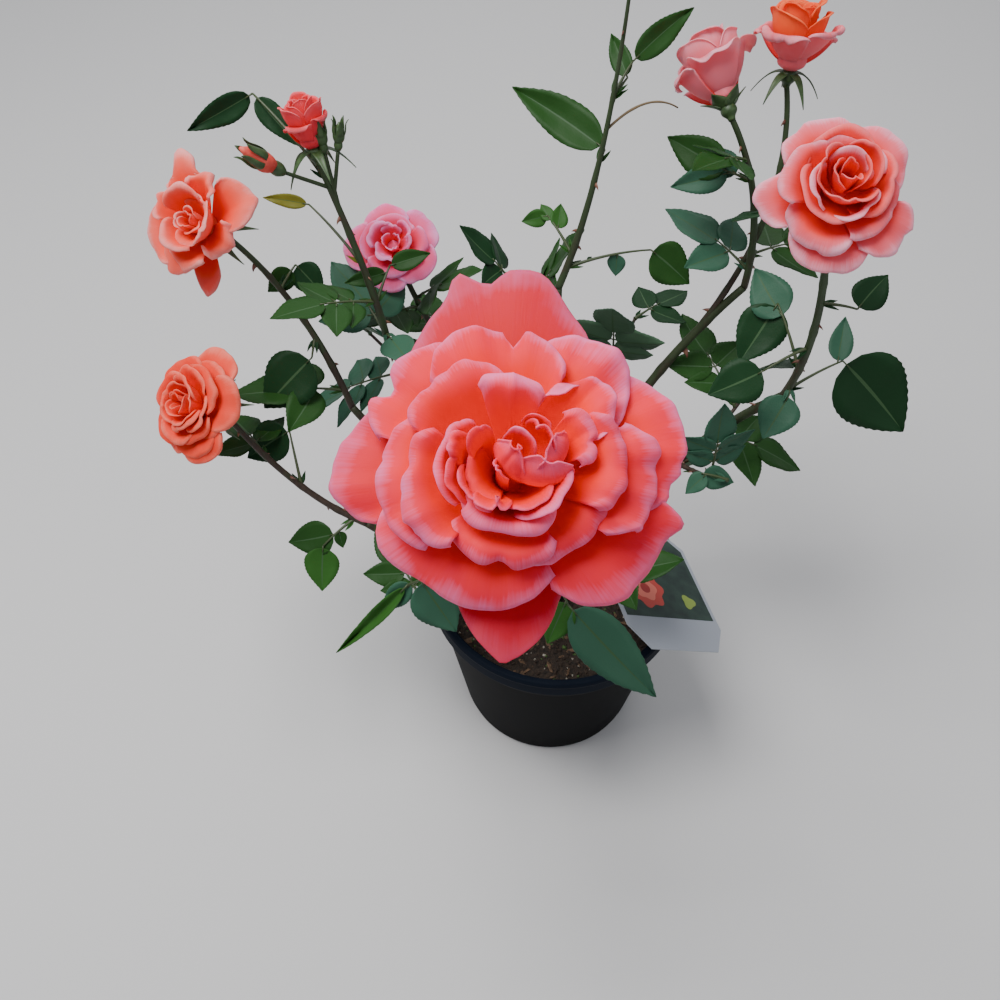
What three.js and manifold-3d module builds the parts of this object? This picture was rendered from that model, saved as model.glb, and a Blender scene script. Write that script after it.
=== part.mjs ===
// A potted rose bush: eight canes rise from a knuckle at soil level in a nursery pot, and carry leafy
// flowering shoots with coral blooms. Millimetres, +Z up. The origin is the middle of the pot's flat
// underside, and -Y is the side towards which the largest bloom leans.
import * as THREE from "three";
import { mergeVertices } from "three/addons/utils/BufferGeometryUtils.js";
import Module from "manifold-3d";

const wasm = await Module();
wasm.setup();

// Driving dimensions
const GAP = 0.3; // clearance between neighbouring pieces
const POT = { height: 165, base: 74, rim: 100, wall: 2.2, floor: 3, lip: 16, overhang: 5, sides: 28 };
const DRAIN = { count: 6, radius: 5, ring: 50, sides: 6 };
const SOIL_TOP = 148;
const KNUCKLE = { x: 0, y: 6, foot: 21, waist: 14, head: 17, top: 30, ring: 11.5 };
const LEAF = { length: 52, width: 0.66, rachis: 1.1, petiole: 24, spacing: 21, thick: 0.03, fold: 0.07 };
const GOLDEN_ANGLE = 137.5;
const HIP = { radius: 5.2, height: 9, seat: 3.6, sepal: 22, bent: 9, notch: 3.6, turn: 7 };
const PETAL_THICK = 0.9;
const HEART = { foot: 4.4, belly: 9, height: 14 };
const LABEL = { width: 95, length: 110, chamfer: 14, shoulder: 20, thick: 0.8, strap: 6, hangs: 0.32 };

// Each cane leaves the knuckle at an angle round it, passes a point on its way and ends where a shoot takes
// over from it.
const CANES = {
  front: { turn: -90, lift: 12, via: [-9, -42, 226], tip: [-15, -84, 300], radii: [5.2, 3.9] },
  right: { turn: 28, lift: 13, via: [90, 50, 242], tip: [142, 17, 348], radii: [5.0, 3.5] },
  back_right: { turn: 54, lift: 24, via: [52, 78, 262], tip: [126, 104, 366], radii: [4.8, 3.4] },
  centre: { turn: 86, lift: 14, via: [-3, 58, 262], tip: [-4, 96, 372], radii: [4.8, 3.4] },
  back_left: { turn: 158, lift: 15, via: [-62, 50, 244], tip: [-121, 68, 346], radii: [4.8, 3.4] },
  left: { turn: 190, lift: 25, via: [-80, 22, 226], tip: [-150, 52, 300], radii: [4.8, 3.3] },
  left_low: { turn: -144, lift: 16, via: [-72, -18, 202], tip: [-140, -12, 246], radii: [4.2, 3.2] },
  back: { turn: 124, lift: 27, via: [-42, 82, 232], tip: [-88, 118, 300], radii: [4.4, 3.2] },
};

// Each shoot goes on from a cane's tip, or leaves its side at a share of its length. It carries compound
// leaves in a spiral, and may carry some that reach for a place of their own: [share of the shoot, place,
// leaflets]. It ends in a hip for a bloom, in a bud or in a soft tip, and may carry more buds, each given by
// a share of the shoot and a place.
const SHOOTS = {
  front: {
    cane: "front", via: [-30, -160, 430], tip: [-41, -228, 556], radii: [3.8, 2.9], aim: [0, -0.47, 0.88],
    leaves: 3, from: 0.35, to: 0.62, turn: 60, size: 1, ends: "hip",
    aimed: [[0.02, [58, -150, 244], 1], [0.3, [-138, -158, 316], 5]],
  },
  right: {
    cane: "right", via: [146, 12, 416], tip: [128, 3, 504], radii: [3.4, 2.6], aim: [-0.1, -0.6, 0.79],
    leaves: 2, from: 0.35, to: 0.6, turn: 200, size: 0.9, ends: "hip",
    aimed: [
      [0.04, [240, 24, 312], 3], [0.03, [98, 40, 322], 1],
      [0.08, [146, -20, 316], 1], [0.2, [126, 84, 394], 1],
    ],
  },
  drooping: {
    cane: "back_right", via: [122, 114, 428], tip: [100, 129, 480], radii: [3.3, 2.4],
    aim: [-0.35, 0.7, 0.62], leaves: 3, from: 0.1, to: 0.75, turn: 150, size: 0.85, ends: "hip",
    aimed: [[0.3, [62, 134, 448], 3]],
  },
  opening: {
    cane: "back_right", side: 0.8, via: [134, 122, 410], tip: [137, 154, 488], radii: [2.8, 2.2],
    aim: [0.05, 0.2, 0.97], leaves: 2, from: 0.35, to: 0.75, turn: 30, size: 0.85, ends: "hip",
  },
  centre: {
    cane: "centre", via: [18, 112, 458], tip: [30, 134, 566], radii: [3.3, 1.9], aim: [0, 0.2, 1],
    leaves: 2, from: 0.3, to: 0.7, turn: 70, size: 0.75, ends: "bud",
    aimed: [
      [0.02, [90, 107, 377], 3], [0.2, [-29, 147, 396], 3],
      [0.5, [-33, 132, 504], 1], [0.86, [68, 147, 556], 1], [0.9, [20, 150, 545], 1],
    ],
  },
  back_left: {
    cane: "back_left", via: [-131, 72, 404], tip: [-154, 91, 474], radii: [3.3, 2.4], aim: [-0.2, 0.25, 0.95],
    leaves: 3, from: 0.06, to: 0.6, turn: 80, size: 0.8, ends: "hip",
    aimed: [[0.84, [-225, 87, 495], 3], [0.55, [-192, 88, 446], 1], [0.1, [-104, 30, 372], 1]],
    buds: [[0.8, [-138, 80, 476]], [0.86, [-130, 96, 480]], [0.9, [-172, 74, 478]]],
  },
  left: {
    cane: "left", via: [-182, 78, 368], tip: [-222, 88, 424], radii: [3.2, 2.3], aim: [-0.35, -0.6, 0.72],
    leaves: 3, from: 0.08, to: 0.62, turn: 200, size: 0.85, ends: "hip",
    aimed: [[0.35, [-192, -9, 374], 1]],
  },
  left_low: {
    cane: "left_low", via: [-188, 0, 280], tip: [-230, 16, 336], radii: [3.1, 2.4], aim: [-0.5, -0.5, 0.7],
    leaves: 1, from: 0.7, to: 0.8, turn: 120, size: 0.8, ends: "hip",
    aimed: [[0.08, [-160, -93, 284], 5], [0.45, [-202, -35, 349], 1]],
  },
  back: {
    cane: "back", via: [-106, 130, 334], tip: [-118, 134, 370], radii: [3.1, 2.3], aim: [0, -0.55, 0.83],
    leaves: 2, from: 0.05, to: 0.4, turn: 100, size: 0.85, ends: "hip",
    aimed: [[0.5, [-59, 112, 381], 3]],
  },
  front_side: {
    cane: "front", side: 0.5, via: [26, -58, 240], tip: [38, -74, 262], radii: [2.4, 1.5],
    aim: [0.4, -0.5, 0.8], leaves: 2, from: 0.5, to: 1, turn: 190, size: 0.8, ends: "tip",
  },
  right_side: {
    cane: "right", side: 0.5, via: [104, 30, 252], tip: [120, 12, 266], radii: [2.4, 1.5],
    aim: [0.6, -0.4, 0.6], leaves: 3, from: 0.4, to: 1, turn: 300, size: 0.75, ends: "tip",
  },
  right_low: {
    cane: "right", side: 0.6, via: [124, 62, 276], tip: [144, 82, 306], radii: [2.3, 1.4],
    aim: [0.7, 0.4, 0.6], leaves: 3, from: 0.3, to: 1, turn: 10, size: 0.9, ends: "tip",
  },
  back_low: {
    cane: "centre", side: 0.45, via: [34, 104, 270], tip: [58, 132, 312], radii: [2.4, 1.5],
    aim: [0.4, 0.5, 0.8], leaves: 3, from: 0.3, to: 1, turn: 120, size: 1, ends: "tip",
  },
  back_high: {
    cane: "centre", side: 0.6, via: [-20, 120, 306], tip: [-34, 152, 328], radii: [2.4, 1.5],
    aim: [-0.4, 0.5, 0.8], leaves: 3, from: 0.35, to: 1, turn: 60, size: 0.95, ends: "tip",
  },
  left_side: {
    cane: "left", side: 0.55, via: [-96, -12, 266], tip: [-116, -36, 304], radii: [2.4, 1.5],
    aim: [-0.4, -0.6, 0.7], leaves: 3, from: 0.3, to: 1, turn: 190, size: 0.9, ends: "tip",
  },
  far_left: {
    cane: "back_left", side: 0.6, via: [-104, 92, 280], tip: [-142, 122, 306], radii: [2.4, 1.5],
    aim: [-0.7, 0.5, 0.5], leaves: 3, from: 0.3, to: 1, turn: 20, size: 0.95, ends: "tip",
  },
  low_front: {
    cane: "left_low", side: 0.5, via: [-78, -48, 214], tip: [-96, -72, 230], radii: [2.2, 1.4],
    aim: [-0.6, -0.7, 0.3], leaves: 2, from: 0.5, to: 1, turn: 200, size: 0.8, ends: "tip",
  },
};

// Blooms sit on the hips. A whorl is a ring of petals: how many, how far out and how high their margins are,
// how far round each one wraps, how far its margin rolls over, and how cupped (1) or spread (0) it stands.
const OPEN_BLOOM = [
  { count: 5, reach: 41, lift: 9, half: 40, roll: 4, cup: 0.15 },
  { count: 4, reach: 30, lift: 20, half: 46, roll: 3, cup: 0.4 },
  { count: 3, reach: 18, lift: 27, half: 52, roll: 1, cup: 0.8 },
];
const HALF_OPEN = [
  { count: 4, reach: 24, lift: 21, half: 46, roll: 5, cup: 0.7 },
  { count: 3, reach: 13, lift: 32, half: 56, roll: 1, cup: 0.9 },
];
const BLOOMS = {
  front: { shoot: "front", size: 1.1 },
  right: { shoot: "right", whorls: OPEN_BLOOM, size: 1.02, turn: 160 },
  left_high: { shoot: "left", whorls: OPEN_BLOOM, size: 1.08, turn: 80 },
  left_low: { shoot: "left_low", whorls: OPEN_BLOOM, size: 0.95, turn: 30 },
  back_pink: { shoot: "back", whorls: OPEN_BLOOM, size: 0.82, turn: 0 },
  drooping: { shoot: "drooping", whorls: HALF_OPEN, size: 1.2, turn: 40 },
  opening: { shoot: "opening", whorls: HALF_OPEN, size: 1.1, turn: 0 },
  bud_left: { shoot: "back_left", whorls: HALF_OPEN, size: 0.8, turn: 120 },
};

// The largest bloom has its petals one by one, from the outermost in:
// [turn in degrees, reach, half of its wrap in degrees, lift, roll, cup, point at its tip]
const FRONT_PETALS = [
  [270, 57, 27, -4, 0, 0.1, 9], [91, 63, 29, 5, 2, 0.1, 0], [182, 57, 33, 7, 4, 0.1, 0],
  [322, 54, 33, 9, 5, 0.1, 0], [12, 55, 31, 12, 5, 0.15, 0], [235, 48, 40, 12, 7, 0.15, 0],
  [142, 51, 30, 15, 5, 0.2, 0], [52, 49, 28, 16, 3, 0.2, 3], [350, 47, 28, 19, 5, 0.25, 0],
  [95, 45, 35, 19, 3, 0.25, 0], [185, 43, 42, 21, 4, 0.3, 0], [315, 36, 36, 22, 4, 0.35, 0],
  [50, 42, 29, 25, 3, 0.3, 4], [262, 32, 40, 24, 4, 0.4, 0], [125, 35, 32, 26, 3, 0.45, 0],
  [192, 31, 40, 28, 3, 0.5, 0], [5, 36, 30, 27, 3, 0.45, 0], [36, 29, 22, 30, 3, 0.5, 2],
  [265, 21, 54, 29, 2, 0.65, 0], [86, 28, 22, 33, 5, 0.55, 3], [172, 20, 44, 31, 1, 0.7, 0],
  [320, 17, 44, 31, 1, 0.7, 0], [60, 12, 50, 33, 0, 0.6, 0], [210, 9, 56, 32, 0, 0.5, 0],
];

// Repeatable numbers from 0 to 1
function seeded(seed) {
  let state = seed >>> 0;
  return () => {
    state = (Math.imul(state, 1664525) + 1013904223) >>> 0;
    return state / 4294967296;
  };
}

const vec = (p) => new THREE.Vector3(...p);
const rad = THREE.MathUtils.degToRad;
const lerp = THREE.MathUtils.lerp;
const UP = new THREE.Vector3(0, 0, 1);

function solidOf(geometry) {
  const bare = geometry.clone();
  bare.deleteAttribute("normal");
  bare.deleteAttribute("uv");
  const merged = mergeVertices(bare, 1e-4);
  return new wasm.Manifold(
    new wasm.Mesh({
      numProp: 3,
      vertProperties: merged.attributes.position.array,
      triVerts: new Uint32Array(merged.index.array),
    }),
  );
}

function meshGeometry(places, faces) {
  const geometry = new THREE.BufferGeometry();
  geometry.setAttribute("position", new THREE.Float32BufferAttribute(places.flatMap((p) => p.toArray()), 3));
  geometry.setIndex(faces);
  return geometry;
}

function geometryOf(solid) {
  const mesh = solid.getMesh();
  const places = new Float32Array(mesh.numVert * 3);
  for (let i = 0; i < mesh.numVert; i++) {
    places.set(mesh.vertProperties.subarray(i * mesh.numProp, i * mesh.numProp + 3), i * 3);
  }
  const geometry = new THREE.BufferGeometry();
  geometry.setAttribute("position", new THREE.BufferAttribute(places, 3));
  geometry.setIndex(new THREE.BufferAttribute(new Uint32Array(mesh.triVerts), 1));
  return geometry;
}

// Joins solids into one, fills any hollow that the joining sealed, and drops loose scraps. The result goes
// through its mesh until it stays whole, because rounding its points can part another scrap from it.
function fused(solids) {
  let solid = wasm.Manifold.union(solids);
  for (let round = 0; round < 4; round++) {
    const bodies = solidOf(geometryOf(solid)).decompose();
    solid = bodies.reduce((best, body) => (body.volume() > best.volume() ? body : best));
    if (round > 0 && bodies.length === 1) break;
  }
  return solid;
}

// A closed skin over rings of points: each ring joins the next, and the two end rings are filled in.
function loft(rings) {
  const sides = rings[0].length;
  const faces = [];
  for (let k = 0; k + 1 < rings.length; k++) {
    for (let i = 0; i < sides; i++) {
      const a = k * sides + i;
      const b = k * sides + ((i + 1) % sides);
      faces.push(a, b, b + sides, a, b + sides, a + sides);
    }
  }
  for (const [first, flip] of [[0, true], [(rings.length - 1) * sides, false]]) {
    for (let i = 1; i + 1 < sides; i++) {
      faces.push(first, first + (flip ? i + 1 : i), first + (flip ? i : i + 1));
    }
  }
  return solidOf(meshGeometry(rings.flat(), faces));
}

// Two directions square to a tangent, the first as near to +X as it can be
function frameOf(tangent) {
  const across = new THREE.Vector3(1, 0, 0).addScaledVector(tangent, -tangent.x).normalize();
  return [across, new THREE.Vector3().crossVectors(tangent, across)];
}

// A ring of points round an axis
function ringOf(middle, axis, radius, sides) {
  const [e1, e2] = frameOf(axis);
  return Array.from({ length: sides }, (_, i) => {
    const a = (i / sides) * 2 * Math.PI;
    return middle
      .clone()
      .addScaledVector(e1, radius * Math.cos(a))
      .addScaledVector(e2, radius * Math.sin(a));
  });
}

// The curve of a limb, which passes its via point at half way
function limbCurve(start, via, tip) {
  const bend = via.clone().multiplyScalar(2).addScaledVector(start, -0.5).addScaledVector(tip, -0.5);
  return new THREE.QuadraticBezierCurve3(start, bend, tip);
}

// A tapering tube along a curve, or along a share of it
function limbSolid(curve, radii, sides, steps, extra = 0, from = 0, to = 1) {
  const rings = Array.from({ length: steps + 1 }, (_, k) => {
    const t = lerp(from, to, k / steps);
    const radius = lerp(radii[0], radii[1], t) + extra;
    return ringOf(curve.getPoint(t), curve.getTangent(Math.min(t, 1)), radius, sides);
  });
  return loft(rings);
}

// A cane, and the space that its neighbours keep clear round it and past its tip
const caneSolid = (curve, radii) => limbSolid(curve, radii, 7, 5);
const caneSpace = (curve, radii) => limbSolid(curve, radii, 7, 5, GAP, 0, 1 + GAP / curve.getLength());

// A round body about an axis from a list of [radius, height] pairs
function turned(profile, base, axis, sides) {
  const middle = (height) => base.clone().addScaledVector(axis, height);
  return loft(profile.map(([radius, height]) => ringOf(middle(height), axis, radius, sides)));
}

// The shares of a rachis at which its pairs of leaflets stand, and their sizes
function pairsOf(leaflets) {
  if (leaflets === 5) return [[0.46, 0.68], [0.8, 0.84]];
  return leaflets === 3 ? [[0.68, 0.82]] : [];
}

// How far the rachis and the whole of a compound leaf reach at size 1
function rachisLength(leaflets) {
  return LEAF.petiole + LEAF.spacing * Math.max(0, (leaflets - 3) / 2) + (leaflets > 1 ? 8 : 0);
}

// A compound leaf as one closed skin. Its rachis arches along the heading, with a keel under two edges.
// Leaflets open from the edges in pairs, and one ends it. Each blade is creased along its middle and thins
// to its edge.
function leafSolid(root, heading, size, leaflets, pad = 0) {
  const reach = size * rachisLength(leaflets);
  const sag = new THREE.Vector3(0, 0, -0.1 * reach);
  const middle = root.clone().addScaledVector(heading, reach * 0.5);
  const end = root.clone().addScaledVector(heading, reach).add(sag);
  const rachis = new THREE.QuadraticBezierCurve3(root, middle, end);
  const places = [];
  const faces = [];
  const add = (p) => places.push(p) - 1;
  const fan = (hub, loop) => loop.forEach((p, i) => faces.push(hub, p, loop[(i + 1) % loop.length]));

  // A section of the rachis: its left and right edges and its keel
  const section = (t) => {
    const along = rachis.getTangent(t);
    const left = new THREE.Vector3().crossVectors(UP, along).normalize();
    const normal = new THREE.Vector3().crossVectors(along, left);
    const middle = rachis.getPoint(t);
    const half = LEAF.rachis * lerp(1.25, 0.85, t) + pad;
    return {
      along, left, normal, middle,
      l: add(middle.clone().addScaledVector(left, half).addScaledVector(normal, half * 0.5)),
      r: add(middle.clone().addScaledVector(left, -half).addScaledVector(normal, half * 0.5)),
      b: add(middle.clone().addScaledVector(normal, -half)),
    };
  };

  // The points of a blade that leaves a section: its outline from one side over the tip, and its two hubs
  const blade = (at, direction, length, shares) => {
    const side = new THREE.Vector3().crossVectors(at.normal, direction).normalize();
    const half = (length * LEAF.width) / 2 + pad;
    const place = (along, across, up) =>
      at.middle
        .clone()
        .addScaledVector(direction, along * length + (along > 0.9 ? pad : 0))
        .addScaledVector(side, across * half)
        .addScaledVector(at.normal, up - 0.1 * length * along * along);
    const outline = [
      ...shares.map(([along, across]) => place(along, across, 0)),
      place(1, 0, 0),
      ...shares.map(([along, across]) => place(along, -across, 0)).reverse(),
    ];
    const crease = -LEAF.fold * length;
    const thick = (LEAF.thick * length) / 2 + pad;
    return {
      outline: outline.map(add),
      top: add(place(0.42, 0, crease + thick)),
      under: add(place(0.42, 0, crease - thick)),
    };
  };

  let last = section(0);
  faces.push(last.r, last.l, last.b);
  const tube = (a, b) => {
    faces.push(a.l, b.l, b.b, a.l, b.b, a.b, b.r, a.r, a.b, b.r, a.b, b.b);
    faces.push(a.l, a.r, b.r, a.l, b.r, b.l);
  };
  for (const [share, scale] of pairsOf(leaflets)) {
    const step = (1.4 * size + pad) / reach;
    const a = section(share - step);
    const b = section(share + step);
    tube(last, a);
    faces.push(a.l, a.r, b.r, a.l, b.r, b.l);
    const length = size * LEAF.length * scale;
    for (const hand of [1, -1]) {
      const mid = { normal: a.normal, middle: a.middle.clone().lerp(b.middle, 0.5) };
      const direction = a.along.clone().multiplyScalar(0.42).addScaledVector(a.left, hand * 0.9).normalize();
      const { outline, top, under } = blade(mid, direction, length, [[0.4, 1]]);
      const [w2, tip, w1] = hand > 0 ? outline.slice().reverse() : outline;
      if (hand > 0) {
        fan(top, [a.l, b.l, w2, tip, w1]);
        fan(under, [a.l, w1, tip, w2, b.l, b.b, a.b]);
      } else {
        fan(top, [b.r, a.r, w1, tip, w2]);
        fan(under, [b.r, w2, tip, w1, a.r, a.b, b.b]);
      }
    }
    last = b;
  }
  const neck = section(1);
  tube(last, neck);
  const { outline, top, under } = blade(neck, neck.along, size * LEAF.length, [[0.28, 0.94], [0.64, 0.8]]);
  fan(top, [neck.l, neck.r, ...outline.slice().reverse()]);
  fan(under, [neck.r, neck.b, neck.l, ...outline]);
  return solidOf(meshGeometry(places, faces));
}

// The leaves on a shoot, each with the headings that it may take to find its space
function leavesOf(shoot, curve, seed) {
  const random = seeded(seed);
  const spiral = Array.from({ length: shoot.leaves }, (_, i) => {
    const share = i / Math.max(1, shoot.leaves - 1);
    const t = lerp(shoot.from, shoot.to, share);
    const turn = shoot.turn + i * GOLDEN_ANGLE + (random() - 0.5) * 30;
    const size = shoot.size * (1 - 0.25 * share) * (0.9 + 0.2 * random());
    const tangent = curve.getTangent(t);
    const headings = [0, 24, -24, 48, -48, 75, -75].map((more) => {
      const [e1, e2] = frameOf(tangent);
      const a = rad(turn + more);
      const outward = e1.multiplyScalar(Math.cos(a)).addScaledVector(e2, Math.sin(a));
      return outward.addScaledVector(tangent, 0.5).addScaledVector(UP, 0.15).normalize();
    });
    return { root: curve.getPoint(t), headings, size, leaflets: i % 3 === 1 ? 5 : 3 };
  });
  const aimed = (shoot.aimed ?? []).map(([t, place, leaflets]) => {
    const root = curve.getPoint(t);
    const way = vec(place).sub(root);
    const size = way.length() / (rachisLength(leaflets) + LEAF.length);
    way.addScaledVector(UP, 0.12 * way.length());
    return { root, headings: [way.normalize()], size, leaflets };
  });
  return [...aimed, ...spiral];
}

// The green hip under a bloom, in a star of five sepals bent back from it
function hipSolids(base, axis) {
  const { radius, height, seat, sepal, bent, notch, turn } = HIP;
  const body = turned([[2, -1], [radius, 3], [radius, 6], [seat, height]], base, axis, 6);
  const [e1, e2] = frameOf(axis);
  const place = (reach, k, up) =>
    base
      .clone()
      .addScaledVector(e1, reach * Math.cos(rad(36 * k + turn)))
      .addScaledVector(e2, reach * Math.sin(rad(36 * k + turn)))
      .addScaledVector(axis, up);
  const outline = Array.from({ length: 10 }, (_, k) =>
    k % 2 ? place(notch, k, 3.2) : place(sepal, k, -bent),
  );
  const faces = outline.flatMap((_, k) => [k, (k + 1) % 10, 10, (k + 1) % 10, k, 11]);
  return [body, solidOf(meshGeometry([...outline, place(0, 0, 5.4), place(0, 0, 0.6)], faces))];
}

// A closed bud: a hip, and an egg of petals in its sepals
function budSolid(base, axis, size) {
  const profile = [[1.4, -1], [3.4, 3], [2.8, 6], [4.8, 12], [1, 24]];
  return turned(profile.map(([r, h]) => [r * size, h * size]), base, axis, 5);
}

// What a shoot carries at its tip and on stalks of its own
function endSolids(shoot, curve) {
  const tip = curve.getPoint(1);
  const axis = vec(shoot.aim).normalize();
  const stalked = (shoot.buds ?? []).flatMap(([share, place]) => {
    const start = curve.getPoint(share);
    const foot = vec(place);
    const aim = foot.clone().sub(start).addScaledVector(UP, 8).normalize();
    return [limbSolid(new THREE.LineCurve3(start, foot), [1.3, 1.2], 3, 1), budSolid(foot, aim, 0.7)];
  });
  if (shoot.ends === "hip") return [...hipSolids(tip, axis), ...stalked];
  return shoot.ends === "bud" ? [budSolid(tip, axis, 0.8), ...stalked] : stalked;
}

// A point of a petal: u runs across it from -1 to 1, v from its foot at 0 to its margin at 1
function petalPoint(petal, u, v) {
  const { reach, lift, cup, roll, point, base } = petal;
  const foot = 4;
  const w = v * (1 - 0.26 * Math.abs(u) ** 3);
  const far = reach - point * Math.abs(u) * v;
  const first = [lerp(foot + 0.2 * reach, 0.85 * reach, cup), lerp(0.6, 0.08, cup) * (lift - base)];
  const second = [lerp(0.6, 1.02, cup) * reach, lerp(1.02, 0.55, cup) * (lift - base)];
  const shares = [(1 - w) ** 3, 3 * (1 - w) ** 2 * w, 3 * (1 - w) * w * w, w ** 3];
  const out = shares[0] * foot + shares[1] * first[0] + shares[2] * second[0] + shares[3] * far;
  const rolled = roll * Math.max(0, (w - 0.7) / 0.3) ** 2;
  const up = base + shares[1] * first[1] + shares[2] * second[1] + shares[3] * (lift - base) - rolled;
  const side = petal.turn + rad(petal.half) * u;
  const tucked = out * (1 + 0.05 * u);
  return new THREE.Vector3(tucked * Math.cos(side), tucked * Math.sin(side), up);
}

// A petal as a closed curved sheet of even thickness
function petalSolid(petal) {
  const across = petal.fine && petal.half > 36 ? 4 : 3;
  const along = petal.fine ? 3 : 2;
  const spots = [];
  for (let j = 0; j <= along; j++) {
    for (let i = 0; i <= across; i++) {
      const u = (2 * i) / across - 1;
      const v = j / along;
      const step = 0.02;
      const du = petalPoint(petal, u + step, v).sub(petalPoint(petal, u - step, v));
      const dv = petalPoint(petal, u, v + step).sub(petalPoint(petal, u, v - step));
      spots.push([petalPoint(petal, u, v), new THREE.Vector3().crossVectors(du, dv).normalize()]);
    }
  }
  const width = across + 1;
  const count = spots.length;
  const offset = (sign) => spots.map(([p, n]) => p.clone().addScaledVector(n, (sign * PETAL_THICK) / 2));
  const faces = [];
  const quad = (a, b, c, d) => faces.push(a, c, b, a, d, c);
  for (let j = 0; j < along; j++) {
    for (let i = 0; i < across; i++) {
      const a = j * width + i;
      quad(a, a + width, a + width + 1, a + 1);
      quad(count + a, count + a + 1, count + a + width + 1, count + a + width);
    }
  }
  for (let i = 0; i < across; i++) {
    const far = along * width + i;
    quad(i + 1, count + i + 1, count + i, i);
    quad(far, count + far, count + far + 1, far + 1);
  }
  for (let j = 0; j < along; j++) {
    const left = j * width;
    const right = left + across;
    quad(left, count + left, count + left + width, left + width);
    quad(right + width, count + right + width, count + right, right);
  }
  return solidOf(meshGeometry([...offset(1), ...offset(-1)], faces));
}

// The petals of a bloom from the outside in, in the bloom's own frame
function petalsOf(bloom, seed) {
  const random = seeded(seed);
  let turn = rad(bloom.turn ?? 0);
  const rows = bloom.whorls
    ? bloom.whorls.flatMap((whorl) => {
        turn += rad(180 / whorl.count);
        return Array.from({ length: whorl.count }, (_, i) => ({
          ...whorl,
          turn: turn + (2 * Math.PI * i) / whorl.count + rad(12) * (random() - 0.5),
          reach: whorl.reach * (0.94 + 0.12 * random()),
          lift: whorl.lift + 2.5 * i,
          point: 0,
        }));
      })
    : FRONT_PETALS.map(([degrees, reach, half, lift, roll, cup, point]) => ({
        turn: rad(degrees), reach, half, lift, roll, cup, point, fine: true,
      }));
  return rows.map((row, i) => ({
    ...row,
    reach: row.reach * bloom.size,
    lift: row.lift * bloom.size,
    base: 1.5 + ((HEART.height - 4) * i) / rows.length,
  }));
}

function bloomSolid(bloom, seed) {
  const shoot = SHOOTS[bloom.shoot];
  const axis = vec(shoot.aim).normalize();
  const base = vec(shoot.tip).addScaledVector(axis, HIP.height + GAP);
  const { foot, belly, height } = HEART;
  const scale = Math.min(1, bloom.size);
  const profile = [[foot, 0], [belly * scale, 2.5], [belly * scale, height - 3], [3 * scale, height]];
  const heart = turned(profile, new THREE.Vector3(), UP, 7);
  const local = geometryOf(fused([heart, ...petalsOf(bloom, seed).map(petalSolid)]));
  const [e1, e2] = frameOf(axis);
  const frame = new THREE.Matrix4().makeBasis(e1, e2, axis).setPosition(base);
  return solidOf(local.applyMatrix4(frame));
}

// The nursery pot: a tapering wall with a flat floor and a rolled lip, and holes that drain the floor
function potSolid() {
  const { height, base, rim, wall, floor, lip, overhang, sides } = POT;
  const outer = rim - overhang;
  const profile = [
    [0, 0], [base - 2, 0], [base, 2], [outer, height - lip], [rim - 1, height - lip], [rim, height - lip + 2],
    [rim, height - 2], [rim - 2, height], [outer - wall, height - 1], [base - wall, floor], [0, floor],
  ].map(([x, y]) => new THREE.Vector2(x, y));
  let pot = solidOf(new THREE.LatheGeometry(profile, sides).rotateX(Math.PI / 2));
  for (let i = 0; i < DRAIN.count; i++) {
    const a = (i / DRAIN.count) * 2 * Math.PI;
    const middle = new THREE.Vector3(DRAIN.ring * Math.cos(a), DRAIN.ring * Math.sin(a), 0);
    pot = pot.subtract(turned([[DRAIN.radius, -1], [DRAIN.radius, floor + 1]], middle, UP, DRAIN.sides));
  }
  return pot;
}

// The potting soil, a little below the lip and heaped towards the stems
function soilSolid() {
  const { height, base, rim, wall, floor, overhang, sides } = POT;
  const inner = (z) => lerp(base, rim - overhang, (z - floor) / (height - 1 - floor)) - wall - 2 * GAP;
  const shoulder = SOIL_TOP - 4;
  const profile = [
    [0, floor + GAP], [inner(floor), floor + GAP], [inner(shoulder), shoulder],
    [inner(shoulder) * 0.62, SOIL_TOP - 2.5], [KNUCKLE.foot + 8, SOIL_TOP], [0, SOIL_TOP],
  ].map(([x, y]) => new THREE.Vector2(x, y));
  return solidOf(new THREE.LatheGeometry(profile, sides).rotateX(Math.PI / 2));
}

// The knuckle at the foot of the canes, with its flare at the soil
function knuckleSolid(extra = 0) {
  const { x, y, foot, waist, head, top } = KNUCKLE;
  const profile = [
    [foot, 0], [foot * 0.82, 4], [waist, 11], [head, 20], [head * 0.86, 26], [head * 0.45, top],
  ];
  const base = new THREE.Vector3(x, y, SOIL_TOP + GAP);
  return turned(profile.map(([r, h]) => [r + extra, h + (h > 0 ? extra : 0)]), base, UP, 10);
}

function caneCurve(cane) {
  const a = rad(cane.turn);
  const start = new THREE.Vector3(
    KNUCKLE.x + KNUCKLE.ring * Math.cos(a),
    KNUCKLE.y + KNUCKLE.ring * Math.sin(a),
    SOIL_TOP + cane.lift,
  );
  return limbCurve(start, vec(cane.via), vec(cane.tip));
}

// A shoot starts on the middle line of its cane, at its tip or where it leaves the side.
function shootCurve(shoot, caneCurves) {
  return limbCurve(caneCurves[shoot.cane].getPoint(shoot.side ?? 1), vec(shoot.via), vec(shoot.tip));
}

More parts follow.
